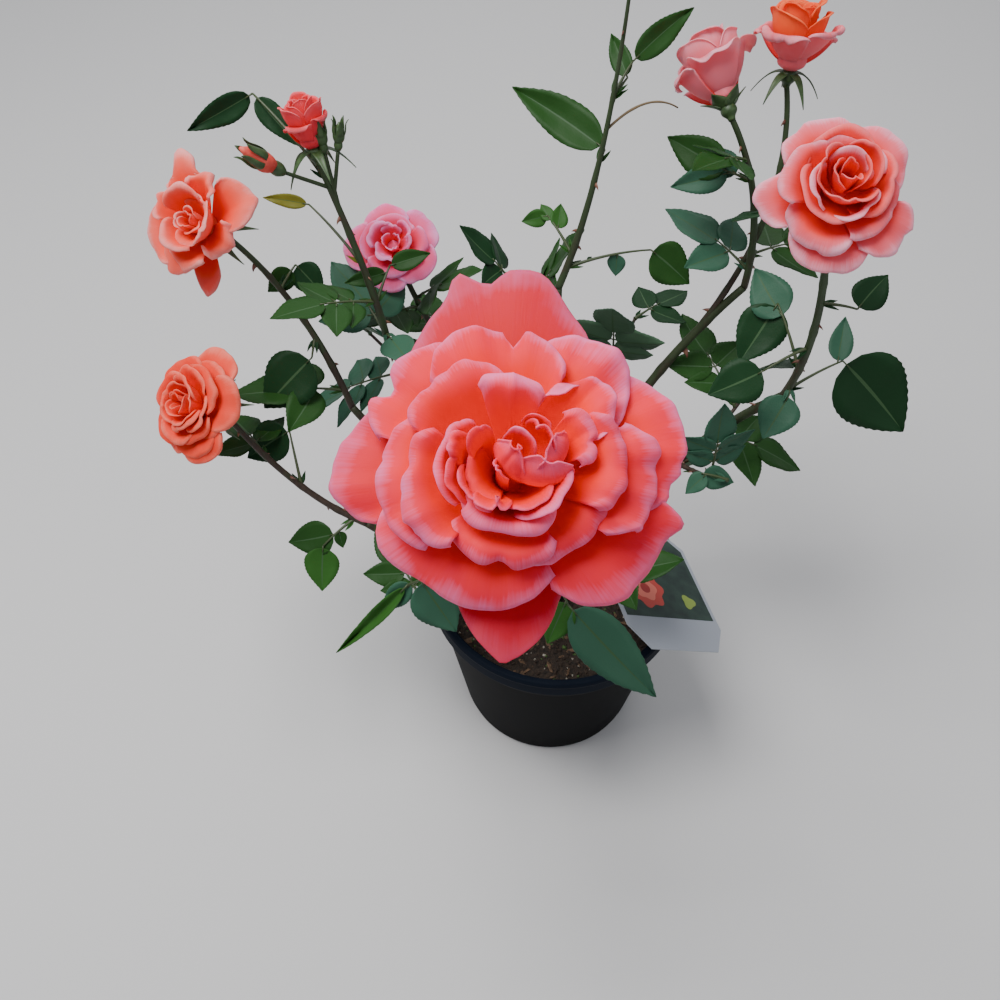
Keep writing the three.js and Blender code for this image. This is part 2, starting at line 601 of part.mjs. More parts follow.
// The picture label: a card with cut corners that lies on the pot's lip, and a strap that ends in a loop
// round a cane
function labelSolid(caneCurve, radii) {
  const { width, length, chamfer, shoulder, thick, strap, hangs } = LABEL;
  const half = width / 2;
  const right = [[half - chamfer, 0], [half, shoulder], [half, length - chamfer], [half - chamfer, length]];
  const outline = [...right, ...right.map(([x, y]) => [-x, y]).reverse()];
  const shape = new THREE.Shape(outline.map(([x, y]) => new THREE.Vector2(x, y)));
  const card = new THREE.ExtrudeGeometry(shape, { depth: thick, bevelEnabled: false });
  const rising = new THREE.Vector3(-0.278, 0.96, 0.019).normalize();
  const across = new THREE.Vector3(0.82, 0.248, -0.516);
  across.addScaledVector(rising, -across.dot(rising)).normalize();
  const facing = new THREE.Vector3().crossVectors(across, rising);
  const foot = new THREE.Vector3(90.6, -82, 185.4);
  card.applyMatrix4(new THREE.Matrix4().makeBasis(across, rising, facing).setPosition(foot));
  const space = caneSpace(caneCurve, radii);
  const loop = limbSolid(caneCurve, radii, 7, 1, 2.2, hangs - 0.016, hangs + 0.016).subtract(space);
  const top = foot.clone().addScaledVector(rising, length - 6).addScaledVector(facing, thick / 2);
  const held = caneCurve.getPoint(hangs);
  const way = held.clone().sub(top);
  const end = held.clone().addScaledVector(way.clone().normalize(), -radii[0] - 0.4);
  const side = new THREE.Vector3().crossVectors(way, UP).normalize().multiplyScalar(strap / 2);
  const deep = new THREE.Vector3().crossVectors(way, side).normalize().multiplyScalar(thick * 0.4);
  const rings = [top, end].map((middle) =>
    [[1, 1], [-1, 1], [-1, -1], [1, -1]].map(([a, b]) =>
      middle.clone().addScaledVector(side, a).addScaledVector(deep, b),
    ),
  );
  return fused([solidOf(card), loop, loft(rings).subtract(space)]);
}

function boxesMeet(a, b) {
  const p = a.boundingBox();
  const q = b.boundingBox();
  return [0, 1, 2].every((k) => p.min[k] < q.max[k] && q.min[k] < p.max[k]);
}

const meets = (a, b) => boxesMeet(a, b) && a.intersect(b).volume() > 1e-6;

function material(color, roughness) {
  return new THREE.MeshStandardMaterial({ color, roughness, metalness: 0 });
}

const FINISH = {
  pot: material(0x14161c, 0.45),
  soil: material(0x2a1d16, 0.95),
  bark: material(0x4a4a2c, 0.7),
  leaf: material(0x2c5a3a, 0.55),
  petal: material(0xf06a5a, 0.6),
  card: material(0xd8dcdc, 0.5),
};

// Every piece in place, by name: its solid and its finish
const pieces = new Map();
pieces.set("pot", [potSolid(), FINISH.pot]);
pieces.set("potting_soil", [soilSolid(), FINISH.soil]);
pieces.set("stem_base", [knuckleSolid(), FINISH.bark]);

const caneCurves = {};
for (const [name, cane] of Object.entries(CANES)) {
  caneCurves[name] = caneCurve(cane);
  const limb = caneSolid(caneCurves[name], cane.radii).subtract(knuckleSolid(GAP));
  pieces.set("cane_" + name, [fused([limb]), FINISH.bark]);
}

Object.entries(BLOOMS).forEach(([name, bloom], k) => {
  pieces.set("bloom_" + name, [bloomSolid(bloom, 11 + k), FINISH.petal]);
});
pieces.set("plant_label", [labelSolid(caneCurves.right, CANES.right.radii), FINISH.card]);

// The stems of all shoots come before any leaf, so that leaves keep clear of them.
const shoots = Object.entries(SHOOTS).map(([name, shoot], k) => {
  const curve = shootCurve(shoot, caneCurves);
  const space = caneSpace(caneCurves[shoot.cane], CANES[shoot.cane].radii);
  const stem = fused([limbSolid(curve, shoot.radii, 5, 4).subtract(space)]);
  return { name, shoot, curve, seed: 101 + k, core: fused([stem, ...endSolids(shoot, curve)]) };
});

// A leaf that can't take any of its headings without touching another piece or leaf is left out.
const skipped = [];
for (const { name, shoot, curve, seed, core } of shoots) {
  const others = [
    ...[...pieces.values()].map(([solid]) => solid),
    ...shoots.filter((s) => s.name !== name).map((s) => s.core),
  ];
  const kept = [];
  for (const { root, headings, size, leaflets } of leavesOf(shoot, curve, seed)) {
    const heading = headings.find((way) => {
      const guard = leafSolid(root, way, size, leaflets, GAP);
      return ![...others, ...kept].some((other) => meets(guard, other));
    });
    if (heading === undefined) skipped.push(name);
    else kept.push(leafSolid(root, heading, size, leaflets));
  }
  pieces.set("foliage_" + name, [fused([core, ...kept]), FINISH.leaf]);
}

const bush = new THREE.Group();
bush.name = "rose_bush";
for (const [name, [solid, finish]] of pieces) {
  const mesh = new THREE.Mesh(geometryOf(solid), finish);
  mesh.name = name;
  bush.add(mesh);
}

export { pieces, skipped };
export default bush;
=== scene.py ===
"""Looks of the potted rose bush: canes with bark and prickles, leafy flowering shoots, coral blooms petal
by petal, the nursery pot with its soil, and the picture label. Sizes are millimetres up to the meshes."""

import functools
import math

import bpy
import numpy as np
from mathutils import Matrix, Vector
from mathutils.kdtree import KDTree


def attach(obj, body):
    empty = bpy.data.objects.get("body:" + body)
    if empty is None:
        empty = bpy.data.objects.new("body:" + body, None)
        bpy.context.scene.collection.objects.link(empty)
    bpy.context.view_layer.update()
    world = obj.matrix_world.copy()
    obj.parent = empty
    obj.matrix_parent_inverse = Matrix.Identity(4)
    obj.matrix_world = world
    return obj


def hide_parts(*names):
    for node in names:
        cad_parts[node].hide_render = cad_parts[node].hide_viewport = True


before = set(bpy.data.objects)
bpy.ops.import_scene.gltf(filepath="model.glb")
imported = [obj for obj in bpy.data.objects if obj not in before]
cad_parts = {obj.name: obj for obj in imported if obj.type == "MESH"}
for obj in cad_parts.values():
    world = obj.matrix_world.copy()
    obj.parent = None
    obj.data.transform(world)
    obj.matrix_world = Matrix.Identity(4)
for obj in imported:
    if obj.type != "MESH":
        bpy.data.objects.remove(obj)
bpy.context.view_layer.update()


def named(keys, rows):
    """A table's rows as records, with a name for each value"""
    return {name: dict(zip(keys, row)) for name, row in rows.items()}


MM = 0.001
UP = np.array([0.0, 0.0, 1.0])
GOLDEN_ANGLE = 137.5

# Driving dimensions, the same as the solids have
POT = {"height": 165, "base": 74, "rim": 100, "wall": 2.2, "floor": 3, "lip": 16, "overhang": 5}
DRAIN = {"count": 6, "radius": 5, "ring": 50}
SOIL_TOP = 148
KNUCKLE = {"x": 0, "y": 6, "foot": 21, "waist": 14, "head": 17, "top": 30, "ring": 11.5}
LEAF = {"length": 52, "width": 0.66, "petiole": 24, "spacing": 21, "thick": 0.42, "fold": 0.06}
HIP = {"radius": 5.2, "height": 9, "seat": 3.6, "sepal": 22, "bent": 9, "turn": 7}
HEART = {"foot": 4.4, "belly": 9, "height": 14}
LABEL = {"width": 95, "length": 110, "chamfer": 14, "shoulder": 20, "thick": 0.8, "strap": 6, "hangs": 0.32}
GAP = 0.3

# Where each kind of piece starts its random numbers
SEEDS = {
    "canes": 900, "shoots": 300, "leaves": 101, "hips": 600, "blooms": 11, "fine_petals": 511, "crumbs": 77,
}
SLIMMER = 0.8  # thickness of the stems as a share of their solids', along a shoot and at a cane's tip

# The photograph's camera: its place in metres, its tilt below the horizon in degrees, and an image that is
# as wide as its focal length
CAMERA = {"place": (-0.044, -0.442, 0.824), "tilt": 52, "sensor": 36, "lens": 36}

# Each cane leaves the knuckle at an angle round it, passes a point and ends where a shoot takes over.
CANES = named(("turn", "lift", "via", "tip", "radii"), {
    "front": (-90, 12, (-9, -42, 226), (-15, -84, 300), (5.2, 3.9)),
    "right": (28, 13, (90, 50, 242), (142, 17, 348), (5.0, 3.5)),
    "back_right": (54, 24, (52, 78, 262), (126, 104, 366), (4.8, 3.4)),
    "centre": (86, 14, (-3, 58, 262), (-4, 96, 372), (4.8, 3.4)),
    "back_left": (158, 15, (-62, 50, 244), (-121, 68, 346), (4.8, 3.4)),
    "left": (190, 25, (-80, 22, 226), (-150, 52, 300), (4.8, 3.3)),
    "left_low": (-144, 16, (-72, -18, 202), (-140, -12, 246), (4.2, 3.2)),
    "back": (124, 27, (-42, 82, 232), (-88, 118, 300), (4.4, 3.2)),
})

# Each shoot leaves a cane at a share of its length, 1 being its tip, and ends in a hip, a bud or a leaf.
SHOOTS = named(("cane", "side", "via", "tip", "radii", "aim", "ends"), {
    "front": ("front", 1, (-30, -160, 430), (-41, -228, 556), (3.8, 2.9), (0, -0.47, 0.88), "hip"),
    "right": ("right", 1, (146, 12, 416), (128, 3, 504), (3.4, 2.6), (-0.1, -0.6, 0.79), "hip"),
    "drooping": ("back_right", 1, (122, 114, 428), (100, 129, 480), (3.3, 2.4), (-0.35, 0.7, 0.62), "hip"),
    "opening": ("back_right", 0.8, (134, 122, 410), (137, 154, 488), (2.8, 2.2), (0.05, 0.2, 0.97), "hip"),
    "centre": ("centre", 1, (18, 112, 458), (30, 134, 566), (3.3, 1.9), (0, 0.2, 1), "bud"),
    "back_left": ("back_left", 1, (-131, 72, 404), (-154, 91, 474), (3.3, 2.4), (-0.2, 0.25, 0.95), "hip"),
    "left": ("left", 1, (-182, 78, 368), (-222, 88, 424), (3.2, 2.3), (-0.35, -0.6, 0.72), "hip"),
    "left_low": ("left_low", 1, (-188, 0, 280), (-230, 16, 336), (3.1, 2.4), (-0.5, -0.5, 0.7), "hip"),
    "back": ("back", 1, (-106, 130, 334), (-118, 134, 370), (3.1, 2.3), (0, -0.55, 0.83), "hip"),
    "front_side": ("front", 0.5, (26, -58, 240), (38, -74, 262), (2.4, 1.5), (0.4, -0.5, 0.8), "leaf"),
    "right_side": ("right", 0.5, (104, 30, 252), (120, 12, 266), (2.4, 1.5), (0.6, -0.4, 0.6), "leaf"),
    "right_low": ("right", 0.6, (124, 62, 276), (144, 82, 306), (2.3, 1.4), (0.7, 0.4, 0.6), "leaf"),
    "back_low": ("centre", 0.45, (34, 104, 270), (58, 132, 312), (2.4, 1.5), (0.4, 0.5, 0.8), "leaf"),
    "back_high": ("centre", 0.6, (-20, 120, 306), (-34, 152, 328), (2.4, 1.5), (-0.4, 0.5, 0.8), "leaf"),
    "left_side": ("left", 0.55, (-96, -12, 266), (-116, -36, 304), (2.4, 1.5), (-0.4, -0.6, 0.7), "leaf"),
    "far_left": ("back_left", 0.6, (-104, 92, 280), (-142, 122, 306), (2.4, 1.5), (-0.7, 0.5, 0.5), "leaf"),
    "low_front": ("left_low", 0.5, (-78, -48, 214), (-96, -72, 230), (2.2, 1.4), (-0.6, -0.7, 0.3), "leaf"),
})
THIN_TIPS = {"centre": 0.55}  # a shoot's tip as a share of its solid's, where it isn't the usual one

# The spiral of leaves on each shoot: how many, the shares of the shoot at which the first and the last one
# grow, the first one's turn in degrees, and their size
SPIRALS = {
    "front": (3, 0.35, 0.62, 60, 1), "right": (2, 0.35, 0.6, 200, 0.9),
    "drooping": (3, 0.1, 0.75, 150, 0.85), "opening": (2, 0.35, 0.75, 30, 0.85),
    "centre": (2, 0.3, 0.7, 70, 0.75), "back_left": (3, 0.06, 0.6, 80, 0.8),
    "left": (3, 0.08, 0.62, 200, 0.85), "left_low": (1, 0.7, 0.8, 120, 0.8),
    "back": (2, 0.05, 0.4, 100, 0.85), "front_side": (2, 0.5, 1, 190, 0.8),
    "right_side": (3, 0.4, 1, 300, 0.75), "right_low": (3, 0.3, 1, 10, 0.9),
    "back_low": (3, 0.3, 1, 120, 1), "back_high": (3, 0.35, 1, 60, 0.95),
    "left_side": (3, 0.3, 1, 190, 0.9), "far_left": (3, 0.3, 1, 20, 0.95),
    "low_front": (2, 0.5, 1, 200, 0.8),
}

# Leaves that reach for a place of their own: (share of the shoot, place, leaflets)
AIMED = {
    "front": [(0.02, (58, -150, 244), 1), (0.3, (-138, -158, 316), 5)],
    "right": [
        (0.04, (240, 24, 312), 3), (0.03, (98, 40, 322), 1),
        (0.08, (146, -20, 316), 1), (0.2, (126, 84, 394), 1),
    ],
    "drooping": [(0.3, (62, 134, 448), 3)],
    "centre": [
        (0.02, (90, 107, 377), 3), (0.2, (-29, 147, 396), 3), (0.5, (-33, 132, 504), 1),
        (0.86, (68, 147, 556), 1), (0.9, (20, 150, 545), 1),
    ],
    "back_left": [(0.84, (-225, 87, 495), 3), (0.55, (-192, 88, 446), 1), (0.1, (-104, 30, 372), 1)],
    "left": [(0.35, (-192, -9, 374), 1)],
    "left_low": [(0.08, (-160, -93, 284), 5), (0.45, (-202, -35, 349), 1)],
    "back": [(0.5, (-59, 112, 381), 3)],
}
BLADE_WIDTHS = {"front": 0.44, "right": 0.8}  # of a shoot's leaflets, where they aren't the usual one

# Leaves seen well in the photo, by shoot and number: the share of the shoot where the stalk begins, if it
# isn't the usual one, where it ends, and of each leaflet the share of the stalk, its tip, width and green.
# Greens are numbered from 0, the deepest, as LEAF_COLOURS lists them.
OWN_LEAVES = {
    ("front", 0): (None, (-1, -108, 289), (1, (54, -154, 246), 0.41, 2), (0.9, (-14, -124, 269), 0.7, 3)),
    ("front", 1): (
        None, (-94, -144, 368),
        (1, (-134, -169, 333), 0.15, 3), (0.97, (-110, -151, 352), 0.5, 2), (0.9, (-69, -159, 341), 0.7, 2),
    ),
    ("right", 0): (None, (180, 32, 365), (1, (229, 3, 330), 0.76, 0), (0.9, (183, 55, 383), 0.5, 2)),
    ("right", 2): (None, (144, 12, 354), (1, (129, -8, 334), 0.85, 2)),
    ("right", 3): (None, (133, 49, 399), (1, (111, 24, 372), 0.74, 0), (0.75, (117, 66, 412), 0.75, 2)),
    ("right", 4): (None, (120, 3, 385), (1, (88, -6, 370), 0.8, 0)),
    ("right", 5): (None, (166, 8, 430), (1, (183, 25, 444), 0.75, 0)),
    ("drooping", 0): (
        0.62, (103, 122, 446),
        (1, (64, 139, 459), 0.58, 1), (0.6, (90, 141, 452), 0.6, 2), (0.9, (68, 119, 436), 0.5, 2),
    ),
    ("centre", 0): (
        0.1, (58, 108, 395),
        (1, (88, 97, 378), 0.8, 1), (0.6, (34, 99, 380), 0.8, 2), (0.25, (18, 105, 392), 0.7, 0),
    ),
    ("centre", 1): (
        0.16, (-12, 121, 413),
        (1, (-29, 119, 409), 0.7, 3), (0.85, (-17, 127, 418), 0.7, 3), (0.6, (-2, 127, 418), 0.7, 3),
    ),
    ("centre", 2): (None, (22, 119, 464), (1, (-33, 155, 492), 0.37, 1)),
    ("centre", 3): (0.7, (36, 137, 512), (1, (73, 165, 534), 0.32, 1)),
    ("centre", 4): (0.69, (33, 131, 505), (1, (23, 153, 522), 0.45, 1)),
    ("back_left", 0): (
        0.93, (-195, 129, 496), (1, (-235, 113, 478), 0.36, 0), (0.97, (-169, 107, 474), 0.4, 0),
    ),
    ("back_left", 1): (None, (-167, 104, 434), (1, (-197, 108, 438), 0.3, 4)),
    ("back_left", 5): (0.32, (-117, 89, 397), (1, (-91, 93, 405), 0.5, 1), (0.8, (-145, 75, 392), 0.45, 1)),
    ("left", 0): (None, (-174, 61, 340), (1, (-210, 37, 317), 0.8, 0)),
    ("left", 3): (None, (-181, 95, 393), (1, (-163, 83, 378), 0.8, 0), (0.8, (-200, 83, 378), 0.7, 1)),
    ("left_low", 0): (
        None, (-171, -26, 238),
        (1, (-175, -49, 215), 0.78, 3), (0.6, (-197, -24, 235), 0.7, 1), (0.5, (-157, -25, 234), 0.7, 1),
    ),
    ("left_low", 1): (None, (-192, 29, 300), (1, (-225, 19, 286), 0.8, 0)),
    ("right_side", 2): (None, (101, 16, 269), (1, (125, 12, 261), 0.7, 2), (0.8, (89, 8, 258), 0.7, 2)),
}

# Leaves turned aside about their foot, in degrees, those left out, and one with a green of its own
ASIDE = {
    ("front", 3): -60, ("drooping", 3): 150, ("opening", 1): 180, ("front_side", 0): 110,
    ("front_side", 1): 110, ("right_side", 0): 160, ("back_high", 1): 150, ("back_high", 2): 150,
    ("low_front", 0): -170, ("low_front", 1): -170,
}
LEFT_OUT = [("centre", 5), ("centre", 6)]
OWN_GREENS = {("drooping", 1): 2}

# Side buds: their shoot, and for each the share of it where the stalk begins, the hip's place, the bud's
# size, and whether its petals show
BUDDED = "back_left"
SIDE_BUDS = [
    (0.8, (-149, 91, 480), 0.85, False), (0.86, (-141, 92, 481), 0.8, False),
    (0.9, (-172, 74, 478), 1.3, True),
]

# Bare dead twigs: start, a point on the way, tip, and the two radii
DEAD_TWIGS = [
    ((21, 117, 478), (44, 124, 492), (66, 130, 486), 0.9, 0.5),
    ((74, 46, 226), (108, 58, 240), (138, 78, 236), 1.5, 0.7),
    ((108, 57, 241), (120, 44, 262), (128, 48, 284), 1.0, 0.5),
    ((34, 66, 234), (56, 40, 250), (84, 26, 256), 1.3, 0.6),
    ((-40, 34, 206), (-66, 60, 216), (-84, 84, 236), 1.3, 0.6),
]

# Rings of petals, as in the solids: (count, reach, lift, half of the wrap in degrees, roll, cup)
OPEN_BLOOM = [(5, 41, 9, 40, 4, 0.15), (4, 30, 20, 46, 3, 0.4), (3, 18, 27, 52, 1, 0.8)]
HALF_OPEN = [(4, 24, 21, 46, 5, 0.7), (3, 13, 32, 56, 1, 0.9)]
BLOOMS = named(("shoot", "whorls", "size", "turn", "heart", "off"), {
    "front": ("front", (), 1.1, 0, "own", (0, 0)),
    "right": ("right", OPEN_BLOOM, 1.02, 160, "deep", (3, 6)),
    "left_high": ("left", OPEN_BLOOM, 1.08, 80, "loose", (0, 0)),
    "left_low": ("left_low", OPEN_BLOOM, 0.95, 30, "full", (0, 0)),
    "back_pink": ("back", OPEN_BLOOM, 0.82, 0, "open", (0, 0)),
    "drooping": ("drooping", HALF_OPEN, 1.2, 40, "bud", (0, 0)),
    "opening": ("opening", HALF_OPEN, 1.1, 0, "bud", (0, 0)),
    "bud_left": ("back_left", HALF_OPEN, 0.8, 120, "bud", (0, 0)),
})

# Finer rings inside the heart of a bloom: (count, reach, lift, half of the wrap, cup)
FINER_WHORLS = {
    "full": [
        (5, 34, 16, 42, 0.3), (4, 25, 25, 46, 0.55), (4, 15, 29, 52, 0.75), (3, 9, 31, 60, 0.7),
        (2, 5, 32, 80, 0.6),
    ],
    "deep": [(3, 24, 24, 62, 0.7), (3, 16, 31, 60, 0.9), (2, 9, 31, 76, 0.8), (2, 5, 32, 80, 0.6)],
    "open": [(3, 15, 24, 44, 0.5), (3, 8, 26, 52, 0.6)],
    "loose": [(2, 15, 21, 50, 0.35), (3, 8, 25, 56, 0.5), (2, 4, 28, 80, 0.5)],
    "bud": [(3, 17, 30, 60, 0.9), (3, 9, 33, 60, 0.8), (2, 5, 34, 80, 0.6)],
}

# Colours of a bloom's petals: depth, middle, flesh and rim. The pale rim is partly the petals' own pale
# margin and partly a painted highlight of sky light on the upturned lips; the deep red of the depth is
# partly their own colour and partly a painted glow of light bouncing between and through the petals.
PALETTES = {
    "front": ((0.95, 0.010, 0.002), (1.0, 0.014, 0.006), (1.0, 0.018, 0.050), (1.0, 0.15, 0.32)),
    "right": ((0.88, 0.018, 0.006), (0.92, 0.045, 0.036), (0.95, 0.13, 0.17), (1.0, 0.36, 0.46)),
    "left_high": ((0.90, 0.025, 0.006), (0.96, 0.065, 0.030), (0.98, 0.13, 0.095), (1.0, 0.30, 0.28)),
    "left_low": ((0.85, 0.016, 0.005), (0.90, 0.032, 0.014), (0.96, 0.062, 0.032), (1.0, 0.17, 0.12)),
    "back_pink": ((0.80, 0.030, 0.060), (0.88, 0.060, 0.15), (0.95, 0.13, 0.30), (0.97, 0.30, 0.55)),
    "drooping": ((0.75, 0.020, 0.010), (0.80, 0.060, 0.070), (0.86, 0.17, 0.21), (0.92, 0.32, 0.38)),
    "opening": ((0.75, 0.05, 0.05), (0.82, 0.08, 0.09), (0.88, 0.14, 0.17), (0.90, 0.26, 0.31)),
    "bud_left": ((0.75, 0.014, 0.012), (0.82, 0.024, 0.028), (0.86, 0.045, 0.062), (0.88, 0.12, 0.15)),
}
# The colour that singled-out petals turn to, and a bloom's own where it isn't that. The largest bloom's own
# is painted shade for its outer petals that face away from the light.
DEEP_RED = (0.30, 0.010, 0.016)
ACCENTS_AND_SHADE = {"front": (0.3, 0.005, 0.02), "right": (0.95, 0.045, 0.015), "opening": (1.0, 0.10, 0.008)}

# The largest bloom's petals from the outermost in: (turn in degrees, reach, half of the wrap in degrees,
# lift, roll, cup, point at the tip, how far the lip rolls over in degrees, length of the lip)
FRONT_KEYS = ("turn", "reach", "half", "lift", "roll", "cup", "point", "curl", "lip")
FRONT_PETALS = [
    (268, 54, 36, -4, 0, 0.1, 22, 15, 2), (91, 68, 46, 5, 2, 0.1, 22, 25, 2),
    (171, 54, 27, 7, 4, 0.1, 0, 60, 3), (324, 50, 33, 9, 5, 0.1, 0, 50, 3),
    (15, 55, 31, 12, 5, 0.15, 0, 90, 4), (240, 41, 54, 12, 7, 0.15, 0, 150, 9),
    (133, 50, 30, 15, 5, 0.2, 0, 170, 7), (52, 49, 28, 16, 3, 0.2, 3, 40, 3),
    (355, 45, 28, 19, 5, 0.25, 0, 120, 5), (95, 45, 35, 19, 3, 0.25, 0, 110, 4),
    (180, 39, 42, 21, 4, 0.3, 0, 170, 8), (315, 31, 36, 22, 4, 0.35, 0, 150, 7),
    (44, 39, 27, 25, 3, 0.3, 4, 40, 3), (262, 29, 40, 24, 4, 0.4, 0, 160, 8),
    (125, 35, 32, 26, 3, 0.45, 0, 140, 6), (192, 31, 40, 28, 3, 0.5, 0, 165, 8),
    (5, 34, 30, 27, 3, 0.45, 0, 150, 7), (24, 27, 19, 30, 3, 0.5, 2, 165, 7),
    (265, 18, 54, 29, 2, 0.65, 0, 150, 6), (88, 25, 23, 36, 5, 0.55, -2, 60, 2),
    (172, 20, 44, 31, 1, 0.7, 0, 100, 3), (320, 17, 44, 31, 1, 0.7, 0, 100, 3),
    (60, 10, 44, 33, 0, 0.6, 0, 40, 2), (210, 6, 56, 32, 0, 0.5, 0, 30, 2),
]
# Small petals that crowd its heart: (turn, reach, half, lift, cup, how far the top leans in, offset)
HEART_KEYS = ("turn", "reach", "half", "lift", "cup", "lean", "offset")
FRONT_HEART = [
    (268, 19, 48, 34, 0.8, 8, (9, 9)), (222, 18, 32, 35, 0.8, 8, (8, 9)),
    (330, 17, 40, 35, 0.8, 7, (4, 8)), (262, 13, 32, 33, 0.4, 0, (-4, -1)),
    (168, 16, 20, 33, 0.6, 0, (-1, 2)), (146, 13, 26, 35, 0.6, 0, (0, 1)),
    (40, 13, 40, 36, 0.6, 2, (3, 2)), (200, 12, 60, 27, 0.2, 0, (-1, 0)),
    (60, 8, 50, 35, 0.6, 1, (6, 7)), (300, 14, 40, 31, 0.6, 0, (0, 0)),
    (190, 18, 34, 31, 0.75, 0, (0, 0)), (214, 15, 38, 31, 0.8, 0, (-1, 0)),
]

# What singles out some petals of a bloom, by their place from the outside in. Marks are swellings and dips
# of the margin as (place across from -1 to 1, width, depth). Fold raises both sides of a petal, red turns
# it to the accent, base is how high its foot sits, and share, 0 outermost and 1 innermost, sets its tone.
# On the largest bloom the accent is painted shade, and red darkens its outer petals that face away from
# the light.
TRAITS = {
    "front": {
        # Red on the four outermost petals is painted shade, where they turn away from the light
        0: dict(marks=[], red=0.85),
        1: dict(marks=[(0.28, 0.09, 7), (0.08, 0.08, -3), (-0.22, 0.13, 4)], red=0.55),
        2: dict(red=0.35),
        3: dict(marks=[(0.68, 0.17, 9)], red=0.35),
        4: dict(marks=[(-0.3, 0.1, -2), (-0.55, 0.08, -2)]),
        5: dict(marks=[(-0.75, 0.4, 11)], wave=0.8),
        6: dict(marks=[(0.35, 0.12, -5)]),
        7: dict(marks=[(-0.3, 0.25, 3)]),
        9: dict(marks=[(-0.2, 0.06, -4), (0.4, 0.3, 1)]),
        10: dict(ragged=1.6),
        12: dict(marks=[(1, 0.5, -15)], fold=5),
        15: dict(ragged=1.4),
        17: dict(fold=2, wave=0.4),
        18: dict(wave=0.4),
        # Petal 19's share below 0 makes it paler than the petals behind it: a painted highlight on a lit
        # petal
        19: dict(marks=[], fold=-4, wave=0, ragged=0, share=-0.8),
        24: dict(base=16),
        25: dict(base=16),
        26: dict(base=16),
        27: dict(marks=[(0.3, 0.15, -3)]),
    },
    "right": {
        0: dict(turn=178, half=34, point=7, curl=50, lip=3),
        1: dict(turn=262, half=42, curl=150, lip=6),
        2: dict(turn=322, half=30, curl=60, lip=3),
        3: dict(turn=42, half=42, point=4, curl=120),
        4: dict(turn=108, half=44, point=3, curl=120),
        **{k: dict(red=0.65) for k in range(12, 22)},
    },
    "left_high": {
        0: dict(turn=104, reach=46, half=27, point=20, lift=20, curl=50, lip=2, marks=[]),
        1: dict(turn=180, half=46, point=6, lift=16, cup=0.35, curl=110, lip=4, marks=[]),
        2: dict(turn=258, half=26, point=14, lift=2, red=0.45, curl=30, lip=3, marks=[], wave=0.4),
        3: dict(turn=228, half=30, point=4, reach=34, curl=150, lip=4),
        4: dict(turn=18, half=36, point=8, fold=6, lift=17, curl=80, lip=3),
        5: dict(turn=142, half=30, point=10, lift=25, fold=3),
        6: dict(turn=250, half=34, point=6, lift=20),
        7: dict(turn=325, half=34, point=8, fold=5, lift=20),
        8: dict(turn=60, half=28, point=8, fold=4, lift=28),
    },
    "drooping": {0: dict(curl=90, lip=3), 2: dict(curl=40), 3: dict(curl=70)},
    "opening": {k: dict(red=0.9) for k in range(4, 15)},
    "bud_left": {k: dict(curl=50, lip=2, marks=[], reach=18 if k < 4 else 11) for k in range(7)},
}


def seeded(seed):
    """Repeatable numbers from 0 to 1, the source's own"""
    state = [seed]

    def draw():
        state[0] = (state[0] * 1664525 + 1013904223) & 0xFFFFFFFF
        return state[0] / 4294967296

    return draw


def vec(*numbers):
    return np.array(numbers, float)


def unit(v):
    return v / np.linalg.norm(v, axis=-1, keepdims=True)


def lerp(a, b, t):
    return a + (b - a) * t


def angles(sides):
    """Even angles round a circle"""
    return np.arange(sides) / sides * 2 * math.pi


def frame_of(tangent):
    """Two directions square to a tangent, the first as near to +X as it can be"""
    across = unit(vec(1, 0, 0) - tangent * tangent[0])
    return across, np.cross(tangent, across)


def around(axis, angle):
    """The way out from an axis at an angle round it"""
    e1, e2 = frame_of(axis)
    return e1 * math.cos(angle) + e2 * math.sin(angle)


def limb_curve(start, via, tip):
    start, via, tip = (np.array(p, float) for p in (start, via, tip))
    return start, 2 * via - (start + tip) / 2, tip


def point_on(curve, t):
    a, b, c = curve
    t = np.asarray(t, float)[..., None]
    return (1 - t) ** 2 * a + 2 * (1 - t) * t * b + t * t * c


def way_on(curve, t):
    a, b, c = curve
    t = np.asarray(t, float)[..., None]
    return unit((1 - t) * (b - a) + t * (c - b))


def cane_curve(cane):
    a = math.radians(cane["turn"])
    k = KNUCKLE
    start = (k["x"] + k["ring"] * math.cos(a), k["y"] + k["ring"] * math.sin(a), SOIL_TOP + cane["lift"])
    return limb_curve(start, cane["via"], cane["tip"])


CANE_CURVES = {name: cane_curve(cane) for name, cane in CANES.items()}
SHOOT_CURVES = {
    name: limb_curve(point_on(CANE_CURVES[shoot["cane"]], shoot["side"]), shoot["via"], shoot["tip"])
    for name, shoot in SHOOTS.items()
}


